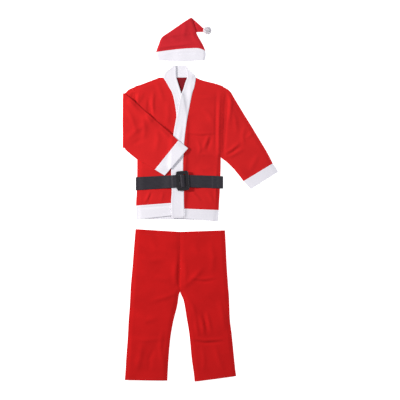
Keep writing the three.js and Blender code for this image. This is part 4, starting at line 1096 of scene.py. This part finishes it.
pile_tree, pile_in, pile_out = node_group("cut_yarn_pile", {
    "Tufts per square metre": ("NodeSocketFloat", 1000.0), "Tuft length": ("NodeSocketFloat", 0.005),
    "Tuft radius": ("NodeSocketFloat", 0.001), "Lean": ("NodeSocketFloat", 0.3),
    "Yarn": ("NodeSocketMaterial", None)})
spots = add_node(pile_tree, "GeometryNodeDistributePointsOnFaces", {"distribute_method": "RANDOM"}, {
    "Mesh": pile_in.outputs["Geometry"], "Density": pile_in.outputs["Tufts per square metre"], "Seed": 4})
tuft = add_node(pile_tree, "GeometryNodeMeshCone", inputs={
    "Vertices": 7, "Side Segments": 3, "Radius Top": pile_in.outputs["Tuft radius"], "Radius Bottom": 0.0005,
    "Depth": pile_in.outputs["Tuft length"]})
lean_by = add_node(pile_tree, "FunctionNodeRandomValue", {"data_type": "FLOAT_VECTOR"}, {"Seed": 9})
pile_tree.links.new(add_node(pile_tree, "ShaderNodeMath", {"operation": "MULTIPLY"}, {
    0: pile_in.outputs["Lean"], 1: -1.0}).outputs[0], lean_by.inputs[0])
pile_tree.links.new(pile_in.outputs["Lean"], lean_by.inputs[1])
leaning = add_node(pile_tree, "FunctionNodeRotateRotation", {"rotation_space": "LOCAL"}, {
    "Rotation": spots.outputs["Rotation"]})
pile_tree.links.new(lean_by.outputs[0], leaning.inputs["Rotate By"])
sizes = add_node(pile_tree, "FunctionNodeRandomValue", {"data_type": "FLOAT"}, {"Seed": 2})
for socket, value in zip([s for s in sizes.inputs if s.type == "VALUE"], (0.8, 1.15)):
    socket.default_value = value
tufts_on = add_node(pile_tree, "GeometryNodeInstanceOnPoints", inputs={
    "Points": spots.outputs["Points"], "Instance": tuft.outputs["Mesh"], "Rotation": leaning.outputs[0]})
pile_tree.links.new([s for s in sizes.outputs if s.type == "VALUE"][0], tufts_on.inputs["Scale"])
real = add_node(pile_tree, "GeometryNodeRealizeInstances", inputs={"Geometry": tufts_on.outputs[0]})
both = add_node(pile_tree, "GeometryNodeJoinGeometry", inputs={"Geometry": pile_in.outputs["Geometry"]})
pile_tree.links.new(real.outputs[0], both.inputs["Geometry"])
dyed = add_node(pile_tree, "GeometryNodeSetMaterial", inputs={
    "Geometry": both.outputs[0], "Material": pile_in.outputs["Yarn"]})
pile_tree.links.new(dyed.outputs[0], pile_out.inputs[0])

pompom = bpy.data.objects.new("pompom_pile", core_mesh)
bpy.context.collection.objects.link(pompom)
grown(pompom, pile_tree, {"Tufts per square metre": 420000.0, "Tuft length": TUFT["length"] * MM,
                          "Tuft radius": TUFT["radius"] * MM, "Lean": 0.35, "Yarn": yarn})
heights = np.empty(len(pompom.data.vertices) * 3)
pompom.data.vertices.foreach_get("co", heights)
heights = heights.reshape(-1, 3)
heights[:, 2] = np.maximum(heights[:, 2], 0.0002)
pompom.data.vertices.foreach_set("co", heights.ravel())
finish_piece(pompom, "pompom")

# ---------------------------------------------------------------------------------------------------------
# Stitching. Lockstitch in polyester thread: white along the trims' seams, red round the trousers' waist and
# hems, 3.5 mm to a stitch. Each line follows the cloth that it holds.
# ---------------------------------------------------------------------------------------------------------
white_thread, _, _ = surface("thread_white_polyester", {
    "Base Color": linear("#e6e3ee"), "Roughness": 0.6, "Sheen Weight": 0.2})
red_thread, _, _ = surface("thread_red_polyester", {
    "Base Color": linear("#b5171a"), "Roughness": 0.6, "Sheen Weight": 0.2})
STITCH = {"spacing": 3.5, "length": 2.9, "radius": 0.28}

seam_tree, seam_in, seam_out = node_group("lockstitch", {
    "Spacing": ("NodeSocketFloat", 0.0035), "Length": ("NodeSocketFloat", 0.003),
    "Thread radius": ("NodeSocketFloat", 0.0003), "Thread": ("NodeSocketMaterial", None)})
path = add_node(seam_tree, "GeometryNodeMeshToCurve", inputs={"Mesh": seam_in.outputs["Geometry"]})
needle_holes = add_node(seam_tree, "GeometryNodeCurveToPoints", {"mode": "LENGTH"}, {
    "Curve": path.outputs[0], "Length": seam_in.outputs["Spacing"]})
half_length = add_node(seam_tree, "ShaderNodeMath", {"operation": "MULTIPLY"}, {
    0: seam_in.outputs["Length"], 1: 0.5})
stitch_size = add_node(seam_tree, "ShaderNodeCombineXYZ", inputs={
    "X": seam_in.outputs["Thread radius"], "Y": seam_in.outputs["Thread radius"], "Z": half_length.outputs[0]})
bead = add_node(seam_tree, "GeometryNodeMeshUVSphere", inputs={"Segments": 6, "Rings": 5, "Radius": 1.0})
stitches = add_node(seam_tree, "GeometryNodeInstanceOnPoints", inputs={
    "Points": needle_holes.outputs["Points"], "Instance": bead.outputs["Mesh"],
    "Rotation": needle_holes.outputs["Rotation"], "Scale": stitch_size.outputs[0]})
sewn = add_node(seam_tree, "GeometryNodeRealizeInstances", inputs={"Geometry": stitches.outputs[0]})
threaded = add_node(seam_tree, "GeometryNodeSetMaterial", inputs={
    "Geometry": sewn.outputs[0], "Material": seam_in.outputs["Thread"]})
seam_tree.links.new(threaded.outputs[0], seam_out.inputs[0])


def topstitching(name, lines, pile, origin, thread):
    """Stitches along lines of points in a garment's mm, each with the layer and wall that they are on."""
    points, edges = [], []
    for field, thickness, line in lines:
        line = np.array(line, float)
        travel = np.concatenate([[0], np.cumsum(np.linalg.norm(np.diff(line, axis=0), axis=1))])
        steps = np.linspace(0, travel[-1], int(travel[-1] / 4) + 2)
        x, y = (np.interp(steps, travel, line[:, k]) for k in (0, 1))
        z = pile.at(field, x, y) + thickness + 0.12
        edges += [(len(points) + i, len(points) + i + 1) for i in range(len(steps) - 1)]
        points += [((a + origin[0]) * MM, (b + origin[1]) * MM, c * MM) for a, b, c in zip(x, y, z)]
    mesh = bpy.data.meshes.new(name)
    mesh.from_pydata(points, edges, [])
    obj = bpy.data.objects.new(name, mesh)
    bpy.context.collection.objects.link(obj)
    grown(obj, seam_tree, {"Spacing": STITCH["spacing"] * MM, "Length": STITCH["length"] * MM,
                           "Thread radius": STITCH["radius"] * MM, "Thread": thread})
    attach(obj, BODY)


def beside(rows, side, inset):
    """A line along one side of a piece's rows, this far inside its edge."""
    line = []
    for row in rows:
        width = math.hypot(row[2] - row[0], row[3] - row[1])
        share = inset / width if side == "left" else 1 - inset / width
        line.append((row[0] + (row[2] - row[0]) * share, row[1] + (row[3] - row[1]) * share))
    return line


def across(row, inset_x, lift_y):
    """A line across a piece, parallel to its first row."""
    return [(row[0] + inset_x, row[1] + lift_y), (row[2] - inset_x, row[3] + lift_y)]


trouser_lines = [(front_height, FELT, across(row, 3, lift_y))
                 for rows in (LEG_RIGHT, LEG_LEFT) for row, lift_y in ((rows[0], 12), (rows[-1], -24))]
topstitching("trousers_topstitching", trouser_lines, trousers_pile, TROUSERS, red_thread)
on_right, on_left = layer["front_right"], layer["front_left"]
jacket_lines = [(on_left, FLEECE, beside(BAND_LEFT[:-4], "right", 2.5)),
                (on_left, FLEECE, beside(BAND_LEFT[7:-1], "left", 3)),
                (on_right, FLEECE, beside(BAND_RIGHT[6:-1], "left", 2.5)),
                (on_right, FLEECE, beside(BAND_RIGHT[11:-1], "right", 3)),
                (on_left, FLEECE, across(HEM_LEFT[-1], 3, -2.5)), (on_right, FLEECE, across(HEM_RIGHT[-1], 3, -2.5)),
                (on_left, FLEECE, across(HEM_LEFT[1], 3, 3)), (on_right, FLEECE, across(HEM_RIGHT[1], 3, 3))]
topstitching("jacket_topstitching", jacket_lines, jacket_pile, JACKET, white_thread)
